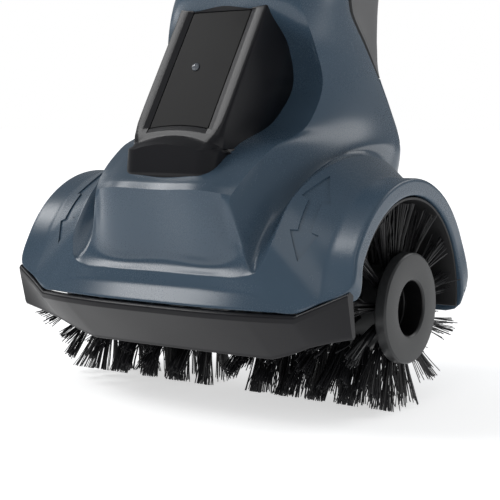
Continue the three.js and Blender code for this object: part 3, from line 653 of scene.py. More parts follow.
def bezier(start, pull, end, t):
    """Point of the parabola that leaves start towards pull and comes into end, at share t."""
    start, pull, end, t = np.array(start), np.array(pull), np.array(end), np.asarray(t)[..., None]
    return (1 - t)**2 * start + 2 * t * (1 - t) * pull + t**2 * end


def neck_ring(front, crease, flank, seam, rear):
    """Half ring: flat front out to the crease, one parabola round the flank, then the rear shell."""
    sides = bezier(crease, flank, seam, np.linspace(0, 1, SEAM - CREASE + 1))
    rear_side = (seam[0] * 0.72, seam[1] + (rear[0] - seam[1]) * 0.78, (seam[2] + rear[1]) / 2)
    return np.concatenate([[(0, *front), (crease[0] * 0.72, *front)], sides, [rear_side, (0, *rear)]])


def end_ring():
    """Half circle at the end of the neck, square to the pole."""
    turn = np.linspace(0, np.pi, COLUMNS)
    return from_pole(np.stack([NECK_END_R * np.sin(turn), -NECK_END_R * np.cos(turn),
                               np.full(COLUMNS, NECK_END)], -1))


def on_round(x, radius, angles):
    """Points on a round of the brush axis at x, each so many degrees forward of the top."""
    turn = np.radians(np.asarray(angles, float))
    return np.stack([np.full(turn.shape, float(x)), -radius * np.sin(turn), radius * np.cos(turn)], -1)


def seam_line(x):
    """Y of the hood's front edge, which curves back towards the ends with the cube of x."""
    return -88 + 10.5 * (np.asarray(x, float) / 86.5)**3


NECK = [
    end_ring(),
    neck_ring((25, 231), (30, 34, 230), (46, 70, 227), (37, 98, 221), (128, 214)),
    neck_ring((-18, 168), (44.5, -7, 170), (56, 22, 169), (46.5, 46, 167), (118, 169)),
    neck_ring((3, 144), (52, -3, 145), (57, 28, 146), (49, 60, 147), (109, 147)),
    neck_ring((8, 124), (54, 3, 124), (60, 42, 126), (50, 76, 128), (104, 129)),
    neck_ring((-8, 104), (54, -10, 102), (66, 40, 106), (55, 82, 109), (106, 109)),
    neck_ring((-50, 87), (52, -48, 86), (74, 20, 92), (61, 84, 88), (107, 90)),
]
GREY_ROW = 4          # the rear shell is grey above this row and blue below it
FOOT_ROW = len(NECK) - 1
SHOULDER = np.array([
    (0, -79.5, 20.5), (36, -79.5, 20.5), (54, -79.3, 20.8), (62.5, -77.5, 24), (66.5, -74.5, 31),
    (68.3, -71.5, 38), (68.8, -65, 47.5), (69.4, -56, 58.5), (71.5, -40, 70), (75, -22, 78),
    (77.5, 0, 82), (79.5, 20, 81.5), (81, 38, 75), (81, 57, 58), (78, 76, 30), (50, 84, 18),
    (0, 86, 18)])
FOLD = np.concatenate([
    [(0, -81, 13.5), (40, -80.8, 13.5), (60, -80, 13), (74, -79, 10), (84.5, -77.6, 6.5),
     (96.5, -73.6, 11)],
    on_round(FLARE_X, RIM_R, (71, 59, 41.5, 23.5, 6, -13, -35, -59, -84)),
    [(56, 79, 8), (0, 80.5, 8)]])
FRONT_X = (0, 45, 62, 75, 86.5)
SIDE_ANGLES = (75.7, 60, 42, 24, 6, -14, -36, -60, -86)
EDGE = np.concatenate([
    [(x, seam_line(x), 4.4) for x in FRONT_X], [(98.5, -73.2, 10.2)],
    on_round(HEAD_HALF, RIM_R, SIDE_ANGLES), [(60, 75, 0), (0, 76, 0)]])
MOUTH = np.concatenate([
    [(x, -MOUTH_R, 4.4) for x in FRONT_X], [(100, -MOUTH_R, 8)],
    on_round(HEAD_HALF, MOUTH_R, (79, 61, 42, 24, 6, -14, -37, -63, -95)),
    [(60, MOUTH_R, -5), (0, MOUTH_R, -5)]])
RETURN_X = 24.0       # how far the mouth's lining turns in
LINING = MOUTH * (1 - RETURN_X / HEAD_HALF, 1, 1)
LINING[:6] = [(x, -MOUTH_R + 3, 20) for x in (0, 40, 55, 66, 76, 84)]
LINING[-2:] = [(50, MOUTH_R - 1, 8), (0, MOUTH_R - 1, 8)]
NOSE = [
    [(0, -78, 68.6), (34, -78, 68.6), (47.5, -73.5, 66.6)],
    [(0, -80.9, 65), (36, -80.9, 65), (46.4, -76.4, 63)],
    [(0, -77, 33), (40, -77, 33), (50, -74, 38)],
    [(0, -75.6, 26.5), (40, -75.6, 26.5), (53, -75, 29)],
]
SWEEP = (0.3, 0.55, 0.78, 0.92)


def sweep_rows():
    """The hollow round the neck's foot: a parabola from the foot that drops, then turns out.

    Its three front columns are the nose box instead, from its top edge down to its foot.
    """
    foot = NECK[-1]
    pull = np.stack([foot[:, 0] * 0.97, SHOULDER[:, 1] * 0.93, SHOULDER[:, 2] * 0.96], -1)
    rows = [bezier(foot, pull, SHOULDER, np.full(COLUMNS, t)) for t in SWEEP]
    for row, nose in zip(rows, NOSE):
        row[:CREASE + 1] = nose
    return rows


def across(row, creased):
    """Fine half ring through a coarse one. Mirrored points carry it smoothly over both middles."""
    flip = np.array([-1.0, 1, 1])
    whole = np.concatenate([row[2:0:-1] * flip, row, row[-2:-4:-1] * flip])
    fine = through(whole, [SPAN_STEPS] * (len(whole) - 1), [CREASE + 2] if creased else [])
    return fine[2 * SPAN_STEPS:len(fine) - 2 * SPAN_STEPS]


def fillet(grid, at, radius, steps=4):
    """Replaces the crease in row at by a parabola that starts and ends a radius away from it."""
    before, corner, after = grid[at - 1], grid[at], grid[at + 1]

    def towards(other):
        gap = other - corner
        size = np.maximum(np.linalg.norm(gap, axis=-1, keepdims=True), 1e-6)
        return corner + gap / size * np.minimum(radius, 0.8 * size)

    t = np.linspace(0, 1, steps + 1)[:, None, None]
    round_ = (1 - t)**2 * towards(before) + 2 * t * (1 - t) * corner + t**2 * towards(after)
    return np.concatenate([grid[:at], round_, grid[at + 1:]])


def round_corner(fine, between):
    """Rounds the hood's lower rear corner: the rim there draws in along a quarter circle."""
    radius = np.hypot(fine[..., 1], fine[..., 2])
    rear = np.degrees(np.arctan2(fine[..., 1], fine[..., 2]))
    start = RIM_END - np.degrees(CORNER_R / RIM_R)
    reach = np.clip(np.radians(rear - start) * RIM_R, 0, CORNER_R)
    drop = (CORNER_R - np.sqrt(CORNER_R**2 - reach**2)) * np.clip((fine[..., 0] - 70) / 25, 0, 1)
    rows = np.arange(len(fine))[:, None]
    drop = np.where((rows >= between[0]) & (rows <= between[1]), drop, 0)
    fine[..., 1:] *= ((radius - drop) / radius)[..., None]


def housing_half():
    """Half of the whole housing skin as a fine grid, and the rows where its shells part.

    Near the middle the grid blends into a second one that is creased along the nose's top edge.
    """
    coarse = [*NECK, *sweep_rows(), SHOULDER, FOLD, EDGE, MOUTH, LINING]
    shoulder = FOOT_ROW + len(SWEEP) + 1
    net = np.stack([across(row, 0 < i < shoulder) for i, row in enumerate(coarse)])
    steps = [9] * FOOT_ROW + [8] * (len(SWEEP) + 1) + [6, 5, 4, 4]
    breaks = list(range(shoulder, len(coarse)))
    fine = through(net, steps, breaks)
    boxed = through(net, steps, [FOOT_ROW + 1, FOOT_ROW + 2, *breaks])
    share = np.clip((CREASE * SPAN_STEPS - np.arange(fine.shape[1])) / BLEND_COLUMNS, 0, 1)[:, None]
    fine += (boxed - fine) * share
    at = np.concatenate([[0], np.cumsum(steps)])
    round_corner(fine, at[[shoulder + 1, shoulder + 2]])
    for row, size in ((shoulder + 3, 1.6), (shoulder + 2, 1.8), (shoulder + 1, 2.2), (shoulder, 2.2)):
        fine = fillet(fine, at[row], size)
    panel = (at[shoulder], at[shoulder + 1] + 4)
    return fine, at[GREY_ROW], at[FOOT_ROW], panel


def trim(grid, axis, end, distance):
    """Draws the first or last line of a grid back along the surface by a distance."""
    grid = np.moveaxis(grid, axis, 0).copy()
    a, b = (0, 1) if end == 0 else (-1, -2)
    gap = grid[b] - grid[a]
    grid[a] += gap / np.maximum(np.linalg.norm(gap, axis=-1, keepdims=True), 1e-6) * distance
    return np.moveaxis(grid, 0, axis)


def turned_away(points, faces, inside):
    """Quads of an open shell, wound so that on the whole they face away from a point inside."""
    corners = points[faces]
    normals = np.cross(corners[:, 2] - corners[:, 0], corners[:, 3] - corners[:, 1])
    outwards = np.sum(normals * (corners.mean(1) - np.array(inside)))
    return faces if outwards > 0 else faces[:, ::-1]


def shell_piece(name, patches, slot, node, inside):
    """A moulded shell from several grids that share edges. Its faces turn away from a point inside."""
    points, faces, start = [], [], 0
    for grid in patches:
        rows, cols = grid.shape[:2]
        points.append(grid.reshape(-1, 3))
        faces.append(grid_faces(rows, cols) + start)
        start += rows * cols
    points = np.concatenate(points)
    faces = turned_away(points, np.concatenate(faces), inside)
    piece = new_piece(name, points, faces, "head", slot, node, smooth_angle=180)
    merged(piece.data, SHARED_EDGE, no_slivers=True)
    return piece


def mirrored(half):
    """Half grid to whole: the other half has the opposite x, and its columns run the other way."""
    return np.concatenate([half[:, ::-1] * (-1.0, 1, 1), half[:, 1:]], 1)


# ---------------------------------------------------------------- shoulder arrows
ARROW = np.array([  # degrees forward of the top, middle x, half width
    (22.6, 78.7, 0.0), (37.9, 80.6, 7.9), (38.6, 80.6, 3.65), (53.4, 81.9, 3.65), (54.1, 82.0, 7.5),
    (66.4, 82.8, 0.0)])
ARROW_DEPTH = 0.9
ARROW_STEP = 1.2      # degrees between stations of the cutter
PER_DEGREE = 1.3      # millimetres that one degree is taken to be on the panel
NEAREST = 12          # panel points that a plane is fitted to


def panel_height(half, panel):
    """A function of x and angle that gives the panel's distance from the brush axis.

    It fits a plane to the nearest points of the panel's own fine grid, each weighted by the
    inverse square of how far off it is.
    """
    grid = half[panel[0]:panel[1]]
    turn = np.degrees(np.arctan2(-grid[..., 1], grid[..., 2]))
    use = (turn > 5) & (turn < 85) & (grid[..., 0] > 60)
    known = np.stack([grid[..., 0][use], turn[use] * PER_DEGREE], -1)
    heights = np.hypot(grid[..., 1], grid[..., 2])[use]

    def height(x, angle):
        wanted = np.stack([x, angle * PER_DEGREE], -1)
        gap = np.linalg.norm(known[None] - wanted[:, None], axis=-1)
        order = np.argsort(gap, axis=1)[:, :NEAREST]
        near = np.take_along_axis(gap, order, 1)
        result = []
        for place, row, ids in zip(wanted, near, order):
            weight = 1 / (row + 0.3)**2
            basis = np.column_stack([np.ones(NEAREST), known[ids]])
            plane = np.linalg.lstsq(basis * weight[:, None], heights[ids] * weight, rcond=None)[0]
            result.append(plane @ (1, *place))
        return np.array(result)

    return height


def arrow_tool(height, side):
    """Closed cutter of the double arrow, from above the shoulder's panel to a set depth in it."""
    stations = []
    for first, second in zip(ARROW[:-1], ARROW[1:]):
        count = max(2, int(abs(second[0] - first[0]) / ARROW_STEP))
        share = (np.arange(count) / count)[:, None]
        stations.append(first + (second - first) * share)
    angles, middles, halves = np.concatenate([*stations, ARROW[-1:]]).T
    halves = np.maximum(halves, 0.05)
    turn = np.radians(angles)
    layers = []
    for lift, edges in ((3.0, (-1, 0, 1)), (-ARROW_DEPTH, (1, 0, -1))):
        for edge in edges:
            x = middles + edge * halves
            r = height(x, angles) + lift
            layers.append(np.stack([side * x, -r * np.sin(turn), r * np.cos(turn)], -1))
    rings = np.stack(layers, 1)
    rows, cols = rings.shape[:2]
    return cap_ends(rings, grid_faces(rows, cols, wrap_cols=True), cols, rows)


def build_housing():
    """Front shell with its arrows, lower rear shell and grey upper rear cover, cut from one skin."""
    half, grey_row, foot, panel = housing_half()
    seam = SEAM * SPAN_STEPS
    upper = trim(half[:foot + 1, :seam + 1], 1, -1, SEAM_GAP)
    lower = half[foot:].copy()
    lower[0, seam:] += (half[foot + 1, seam:] - half[foot, seam:]) * 0.2
    upper[-1] = lower[0, :seam + 1]
    rear = half[:foot + 1, seam:]
    low_rear = trim(rear[grey_row:], 1, 0, SEAM_GAP)
    low_rear = trim(trim(low_rear, 0, 0, SEAM_GAP), 0, -1, SEAM_GAP)
    high_rear = trim(trim(rear[:grey_row + 1], 1, 0, SEAM_GAP), 0, -1, SEAM_GAP)
    for name, grids, slot, node in (
            ("housing_front_shell", (upper, lower), "housing", "main_housing"),
            ("housing_rear_shell", (low_rear,), "housing", "rear_housing"),
            ("neck_cover_shell", (high_rear,), "grey_shell", "neck_rear_cover")):
        piece = shell_piece(name, [mirrored(grid) for grid in grids], slot, node, HOUSING_INSIDE)
        thicken(piece, HOUSING_WALL)
        if node == "main_housing":
            settle(piece, 40)
            height = panel_height(half, panel)
            carve(piece, arrow_tool(height, 1), arrow_tool(height, -1))
        bevel(piece, 0.3, 2, 50)


# ---------------------------------------------------------------- front guard
def build_guard():
    """Black guard under the hood's front edge: a hollow-backed section carried from end to end."""
    end, lip, wall = HEAD_HALF - 0.3, 1.7, 2.6
    low = np.array([(0, -62.5, -24.5), (40, -62, -24.5), (62, -61, -24.5), (76, -62.5, -20),
                    (86.5, -64, -15.5), (100, -64.4, -11.5), (end, -64.8, -8.3)])
    top = np.array([*[(x, seam_line(x), 4.4) for x in FRONT_X], (98.5, -73.2, 10.2), (end, -68.8, 17.2)])
    sections = np.stack([
        top + (0, -0.1, -GUARD_GAP), top + (0, -lip, -GUARD_GAP - 1.2), top + (0, -lip + 0.4, -5.0),
        low + (0, -0.9, 1.8), low + (0, 0.4, 0), low + (0, wall, 1.4),
        top + (0, wall + 1.2, -6), top + (0, wall + 1.6, -GUARD_GAP)], 1)
    spread = through(sections, [14, 8, 7, 7, 8, 8], breaks=[2, 4, 5])
    lines = np.moveaxis(np.concatenate([spread[::-1] * (-1.0, 1, 1), spread[1:]]), 1, 0)
    closed = np.concatenate([lines[-1:], lines, lines[:1]])
    rounded = [fillet(closed[i:i + 3], 1, size, 3)[1:-1]
               for i, size in enumerate((0.5, 0.9, 0.4, 0.9, 0.8, 0.5, 0.4, 0.5))]
    rings = np.moveaxis(np.concatenate(rounded), 0, 1)
    loft_piece("front_guard_moulding", rings, "head", "black_shell", "front_guard", smooth_angle=40)


# ---------------------------------------------------------------- cover on the nose
COVER_HALF = 30.5
FACE_LOW = np.array((-66.8, 89.7))
FACE_TOP = np.array((-3.5, 190.0))
FACE_DIR = (FACE_TOP - FACE_LOW) / np.linalg.norm(FACE_TOP - FACE_LOW)
FACE_IN = np.array((FACE_DIR[1], -FACE_DIR[0]))
FACE_LENGTH = 96.0
PANEL_HALF = 20.5
PANEL_FROM, PANEL_TO = 9.3, 89.0
ARCH = 2.4
COVER_WALL = 1.6
COVER_INSIDE = (0, 10, 110)
# Across the face: x of the bed's flat, its step and its sloping frame, and how deep each lies
BED_X = (0, 6, 12, 17, PANEL_HALF, PANEL_HALF + 0.05, PANEL_HALF + 0.1, PANEL_HALF + 3.2,
         PANEL_HALF + 3.7)
BED_DEPTH = (2.3, 2.3, 2.3, 2.3, 2.3, 2.3, 1.0, 0.12, 0)


def arch(x, half=22.0):
    """Share from 1 in the middle to 0 at the half width, falling with the square of x."""
    return np.clip(1 - (np.asarray(x) / half)**2, 0, 1)


def on_face(start, rise=0.0, sunk=0.0):
    """Line across the sloping face at a distance from its foot, as a function of x.

    In the middle the line rises by a share of the arch. It may be sunk square to the face.
    """
    return lambda x: FACE_LOW + (start + rise * arch(x))[:, None] * FACE_DIR + sunk * FACE_IN


def cover_row(place, corner, inwards, back, sunk=0.0):
    """Half a row of the cover as x, y and z. A place gives y and z across the row.

    The row runs across the face, round a quarter circle of the corner's size, then straight back
    along the side. A sunk row drops by the bed's depth inside the panel's frame.
    """
    end = COVER_HALF - corner
    across_face = np.minimum([*BED_X, end], end)
    turn = np.linspace(0, np.pi / 2, 9)[1:]
    x = np.concatenate([across_face, end + corner * np.sin(turn), np.full(3, COVER_HALF)])
    depth = np.concatenate([np.append(BED_DEPTH, 0) * sunk, corner * (1 - np.cos(turn)),
                            (corner + 2, back * 0.5 + corner, back + corner)])
    return np.column_stack([x, place(np.minimum(x, end)) + depth[:, None] * inwards])


def build_cover():
    """Wedge cover. Rows run up its foot, over the arched ledge and up the sloping face.

    The corner is wide at the foot and tight on the face. The panel's bed is sunk into the face.
    """
    level = np.array((1.0, 0.0))
    tilt = (level + FACE_IN) / np.linalg.norm(level + FACE_IN)
    foot_low, foot_high, bulge = np.array((-74.4, 70.0)), np.array((-72.7, 86.0)), 3.3

    def on_foot(share):
        """Line across the foot, which bulges upwards with the square of the share."""
        base = foot_low + (foot_high - foot_low) * share
        return lambda x: base + np.stack([0 * x, bulge * share**2 * arch(x)], -1)

    def on_ledge(x):
        return foot_high + np.stack([0.5 + 0 * x, 0.45 + bulge * arch(x)], -1)

    def above_ledge(x):
        return (on_ledge(x) + on_face(1.0, 4.2)(x)) / 2 + (0.25, -0.35)

    def corner_at(distance):
        """Corner size on the face: it falls off exponentially from the foot to a tight one."""
        return 1.6 + 3.4 * np.exp(-distance / 8)

    rows = [cover_row(on_foot(share), 9.0, level, 12) for share in (0, 0.25, 0.5, 0.75, 0.9, 1.0)]
    rows += [cover_row(on_ledge, 9.0, level, 12),
             cover_row(above_ledge, 8.6, tilt, 16),
             cover_row(on_face(0.8, 4.2), 8.0, FACE_IN, 20),
             cover_row(on_face(1.5, 4.2), 7.0, FACE_IN, 20),
             cover_row(on_face(PANEL_FROM - 4.2, ARCH), 5.0, FACE_IN, 24)]
    for past, sunk in ((-3.6, 0), (-3.2, 0.04), (0, 0.42), (0.1, 1.0)):
        rows.append(cover_row(on_face(PANEL_FROM + past, ARCH), corner_at(5 + past), FACE_IN, 30, sunk))
    for at in np.linspace(PANEL_FROM + 4, PANEL_TO - 0.2, 12):
        rows.append(cover_row(on_face(at), corner_at(at), FACE_IN, 48, 1.0))
    for past, sunk in ((-0.1, 1.0), (0, 0.42), (3.0, 0.04), (3.4, 0)):
        rows.append(cover_row(on_face(PANEL_TO + past), corner_at(80), FACE_IN, 38, sunk))
    for past, drop, back in ((0, 0, 30), (0.8, 1.0, 24), (1.0, 6.0, 20)):
        rows.append(cover_row(on_face(FACE_LENGTH + past, sunk=drop), 1.6, FACE_IN, back))
    piece = shell_piece("motor_cover_shell", [mirrored(np.stack(rows))], "black_shell", "motor_cover",
                        COVER_INSIDE)
    thicken(piece, COVER_WALL)
    piece.data.set_sharp_from_angle(angle=math.radians(24))


def build_panel():
    """Gloss panel in its bed: rounded corners, arched lower edge, flat face."""
    gap, thick, sunk, corner = 0.25, 1.1, 1.05, 1.6
    half, low, high = PANEL_HALF - gap, PANEL_FROM + gap, PANEL_TO - gap
    turn = np.linspace(0, np.pi / 2, 6)
    sin, cos = np.sin(turn), np.cos(turn)
    right = np.concatenate([
        np.stack([np.linspace(0, half - corner, 10)[:-1], np.full(9, low)], -1),
        np.stack([half - corner + corner * sin, low + corner * (1 - cos)], -1),
        np.stack([half - corner + corner * cos, high - corner * (1 - sin)], -1),
        np.stack([np.linspace(half - corner, 0, 10)[1:], np.full(9, high)], -1)])
    outline = np.concatenate([right, right[-2:0:-1] * (-1, 1)])
    rings = []
    for inset, depth in ((0, sunk + thick), (0, sunk + 0.35), (0.1, sunk + 0.1), (0.3, sunk + 0.01),
                         (0.5, sunk), (0.9, sunk), (6, sunk), (12, sunk), (18, sunk)):
        x = np.sign(outline[:, 0]) * np.minimum(np.abs(outline[:, 0]), half - inset)
        up = np.clip(outline[:, 1], low + inset, high - inset)
        lift = np.where(up < (low + high) / 2, ARCH * arch(x), 0) * np.clip(1 - (up - low) / 20, 0, 1)
        rings.append(np.column_stack([x, FACE_LOW + (up + lift)[:, None] * FACE_DIR + depth * FACE_IN]))
    loft_piece("cover_gloss_panel", rings, "head", "gloss_panel", "cover_panel", smooth_angle=50)


def build_lens():
    """Clear dome of the indicator, standing out of the panel."""
    centre, r = FACE_LOW + 50.6 * FACE_DIR + 1.0 * FACE_IN, 2.5
    profile = [(0, -0.4), (r, -0.4), (r, 0.2), (r * 0.92, 0.8), (r * 0.6, 1.4), (r * 0.25, 1.65),
               (0, 1.7)]

    def place(points):
        """Turned about Z to standing square on the face, a little left of its middle."""
        yz = points[..., 1, None] * FACE_DIR - points[..., 2, None] * FACE_IN
        return np.concatenate([points[..., :1] - 4.0, yz + centre], -1)

    turned_piece("indicator_dome", profile, place, "head", "lens", "indicator_lens", 48, 0.25,
                 on_axis=True)


# ---------------------------------------------------------------- brush
DRUM_START = 14.8
TUFT_ROWS, TUFT_RING, STRANDS = 9, 13, 34
STRAND_R = 0.31       # half the thickness of a filament
LEVELS = np.array([0, 0.45, 0.8, 1.0])     # shares of a filament's length that have a ring


def build_drum(side, name):
    """Drum, end disc and its recess as one turned shape."""
    groove = 0.5
    profile = [(6.5, DRUM_START), (DRUM_R, DRUM_START), (DRUM_R, DISC_X - 7), (DISC_R - 0.9, DISC_X - 7),
               (DISC_R, DISC_X - 6.1), (DISC_R, DISC_X - 0.9), (DISC_R - 0.9, DISC_X),
               (BORE_R + 1.1, DISC_X), (BORE_R, DISC_X - 1.1), (BORE_R, DISC_X - 12),
               (BORE_R - groove, DISC_X - 12.6), (BORE_R - groove, DISC_X - BORE_DEPTH),
               (6.5, DISC_X - BORE_DEPTH)]
    turned_piece(f"brush_drum_moulding_{name}", profile, lambda p: about_x(p, side), "brush", "drum",
                 f"brush_drum_{name}", 128, 0.35)


def tuft_strands(side, draw):
    """Centre lines and sideways directions of every filament on one drum.

    A filament leaves its root in the drum along the radius. Its place in the tuft spreads with
    the 1.3rd power of the share of its length, it bends with the square, and the whole tuft leans
    with the 1.5th power. Tips past the brush's radius are drawn in to it.
    """
    first, last = DRUM_START + 5.5, DISC_X - 10.0
    row, tuft = np.meshgrid(np.arange(TUFT_ROWS), np.arange(TUFT_RING), indexing="ij")
    row_x = np.linspace(first, last, TUFT_ROWS)[row]
    angle = (tuft + 0.5 * (row % 2)) / TUFT_RING * 2 * np.pi + draw.normal(0, 0.03, row.shape)
    middle_x = row_x + draw.normal(0, 0.5, row.shape)
    twist = draw.normal(0, 0.05, row.shape)                 # how far a tuft leans round the drum
    shove = draw.normal(0, 0.05, row.shape) + 0.11 * np.clip((row_x - 84) / 20, 0, 1)
    opening = 2.35 * (1 + draw.uniform(-0.3, 0.5, row.shape))

    shape = (TUFT_ROWS, TUFT_RING, STRANDS)
    root, turn = 2.3 * np.sqrt(draw.uniform(0, 1, shape)), draw.uniform(0, 2 * np.pi, shape)
    length = (TIP_R - DRUM_R + 1.0) * (1 - np.abs(draw.normal(0, 0.014, shape)))
    stray = draw.uniform(0, 1, shape) < 0.05

    def bend():
        return draw.normal(0, 0.8, shape) + np.where(stray, draw.normal(0, 3.5, shape), 0)

    def offset(from_root, bent, lean):
        spread = from_root[..., None] * (1 + (opening[..., None, None] - 1) * LEVELS**1.3)
        leaning = (lean[..., None] * length)[..., None] * LEVELS**1.5
        return spread + bent[..., None] * LEVELS**2 + leaning

    along = offset(root * np.cos(turn), bend(), shove)
    around = offset(root * np.sin(turn), bend(), twist)
    x = np.clip(middle_x[..., None, None] + along, DRUM_START + 1.0, HEAD_HALF + 2.5)
    height = DRUM_R - 1.0 + length[..., None] * LEVELS
    limit = np.minimum(1, (TIP_R - 0.3) / np.hypot(height, around))
    height, around = height * limit, around * limit
    turn = angle[..., None, None]
    core = np.stack([x, -(height * np.sin(turn) + around * np.cos(turn)),
                     height * np.cos(turn) - around * np.sin(turn)], -1)
    sideways = np.stack([0 * angle, -np.cos(angle), -np.sin(angle)], -1)[:, :, None, None]
    return core, sideways


def build_tufts(side, name, draw):
    """Rows of bristle tufts. Each filament is a bent three-sided prism from root to cut tip."""
    core, sideways = tuft_strands(side, draw)
    phase = draw.uniform(0, 2 * np.pi, core.shape[:3])[..., None, None]
    turns = [phase + k * 2 * np.pi / 3 for k in range(3)]
    points = np.stack([core + STRAND_R * (np.cos(t) * (1.0, 0, 0) + np.sin(t) * sideways)
                       for t in turns], -2).reshape(-1, len(LEVELS), 3, 3)
    points[..., 0] *= side
    count, levels = points.shape[:2]
    first = np.arange(count)[:, None, None] * levels * 3
    quads = (grid_faces(levels, 3, wrap_cols=True) + first).reshape(-1, 4)
    end = (levels - 1) * 3
    caps = (np.array([(2, 1, 0), (end, end + 1, end + 2)]) + first).reshape(-1, 3)
    if side > 0:
        quads, caps = quads[:, ::-1], caps[:, ::-1]
    new_piece(f"bristle_tufts_{name}", points, [*quads.tolist(), *caps.tolist()], "brush", "bristle",
              f"bristles_{name}", smooth_angle=60)


def build_screw(side, name):
    """Retaining screw with a six-sided socket."""
    inner = DISC_X - BORE_DEPTH + 0.3
    profile = [(0, inner - 8.5), (3, inner - 8.5), (3, inner + 0.3), (9, inner + 0.3), (9, inner + 4.4),
               (8.2, inner + 5.2), (0, inner + 5.2)]
    piece = turned_piece(f"retaining_screw_turned_{name}", profile, lambda p: about_x(p, side), "brush",
                         "steel", f"retaining_screw_{name}", 64, 0.4, on_axis=True)
    turn = np.arange(6) * np.pi / 3
    socket = np.stack([3.4 * np.cos(turn), 3.4 * np.sin(turn)], -1)
    rings = np.stack([np.column_stack([np.full(6, side * x), socket]) for x in (inner + 2.2, inner + 7)])
    carve(piece, cap_ends(rings, grid_faces(2, 6, wrap_cols=True), 6, 2))


def build_shield():
    """Thin turning shield: an arc of sheet with rounded lips, carried from end to end.

    A window is cut out of its middle, where the gear case reaches the drums.
    """
    outer, inner, end = MOUTH_R - 0.8, MOUTH_R - 2.4, HEAD_HALF - 1.6
    middle, half_thick, lip_reach = (outer + inner) / 2, (outer - inner) / 2, 0.013
    turn = np.radians(np.linspace(58.0, -95.0, 81))
    lip = np.linspace(0, np.pi, 5)[1:-1]
    radius = np.concatenate([np.full(81, outer), middle + half_thick * np.cos(lip),
                             np.full(81, inner), middle - half_thick * np.cos(lip)])
    angle = np.concatenate([turn, turn[-1] - lip_reach * np.sin(lip),
                            turn[::-1], turn[0] + lip_reach * np.sin(lip)])
    rings = []
    for x, inset in ((-end, 0.45), (-end + 0.2, 0.15), (-end + 0.6, 0), (-40, 0), (40, 0),
                     (end - 0.6, 0), (end - 0.2, 0.15), (end, 0.45)):
        r = radius * np.where(radius > middle, 1 - inset / outer, 1 + inset / inner)
        rings.append(np.stack([np.full(len(r), x), -r * np.sin(angle), r * np.cos(angle)], -1))
    rows, cols = len(rings), len(angle)
    faces = grid_faces(rows, cols, wrap_cols=True).tolist()
    last = 2 * len(turn) + len(lip)
    for base in (0, (rows - 1) * cols):
        faces += [(base + i, base + i + 1, base + last - 2 - i, base + last - 1 - i)
                  for i in range(len(turn) - 1)]
        faces.append([base + k for k in range(len(turn) - 1, len(turn) + len(lip) + 1)])
        faces.append([base + k % cols for k in range(last - 1, last + len(lip) + 1)])
    piece = new_piece("brush_shield_sheet", np.array(rings), faces, "shield", "black_shell",
                      "brush_shield", "liner", 40)
    face_out(piece)

    fan = np.radians(np.linspace(-3.0, -79.0, 20))
    ring = np.array([(-r * np.sin(t), r * np.cos(t)) for r, row in ((50, fan), (70, fan[::-1]))
                     for t in row])
    count = len(ring)
    sides = np.array([np.column_stack([np.full(count, x), ring]) for x in (-15.4, 15.4)])
    faces = grid_faces(2, count, wrap_cols=True).tolist()
    for base in (0, count):
        faces += [(base + i, base + i + 1, base + count - 2 - i, base + count - 1 - i)
                  for i in range(len(fan) - 1)]
    carve(piece, (sides, faces))


# ---------------------------------------------------------------- pole
LOWER_R, UPPER_R, TUBE_WALL = 16.0, 14.0, 1.6
LOWER_END, UPPER_START = 700.0, 520.0
GRIP_START, GRIP_END = 1010.0, 1215.0
AUX_AT, AUX_Y = 850.0, -32.0
TRIGGER_AT, LOCK_AT, DIAL_AT = 1106.0, 1078.0, 1040.0
HANDLE_WALL = 2.6
HANDLE_POWER = 2.8    # how square the handle's sections are: 2 is an ellipse


def build_pole():
    """Socket in the neck's end and the two tubes, turned about the pole."""
    bore = LOWER_R + 0.3
    turned_piece("pole_socket_turned", [
        (bore, NECK_END - 50), (22, NECK_END - 50), (22, NECK_END + 0.4), (27.3, NECK_END + 0.4),
        (27.5, NECK_END + 8), (25.6, NECK_END + 16), (22.4, NECK_END + 32), (21.2, NECK_END + 42),
        (bore, NECK_END + 42)], from_pole, "head", "black_shell", "pole_socket", radius=1.4)
    inner, outer = LOWER_R - TUBE_WALL, LOWER_R
    turned_piece("lower_tube_drawn", [
        (inner, NECK_END - 44), (outer, NECK_END - 44), (outer, LOWER_END), (inner, LOWER_END)],
        from_pole, "head", "aluminium", "lower_tube", radius=0.4)
    inner, outer, end = UPPER_R - TUBE_WALL, UPPER_R, GRIP_START + 22
    profile = [(inner, UPPER_START), (outer, UPPER_START)]
    for at in LOWER_END + 26 + 20 * np.arange(6):          # height marks: shallow grooves
        profile += [(outer, at), (outer - 0.35, at + 0.4), (outer - 0.35, at + 1.2), (outer, at + 1.6)]
    profile += [(outer, end), (inner, end)]
    turned_piece("upper_tube_drawn", profile, from_pole, "upper", "aluminium", "upper_tube", radius=0.2)


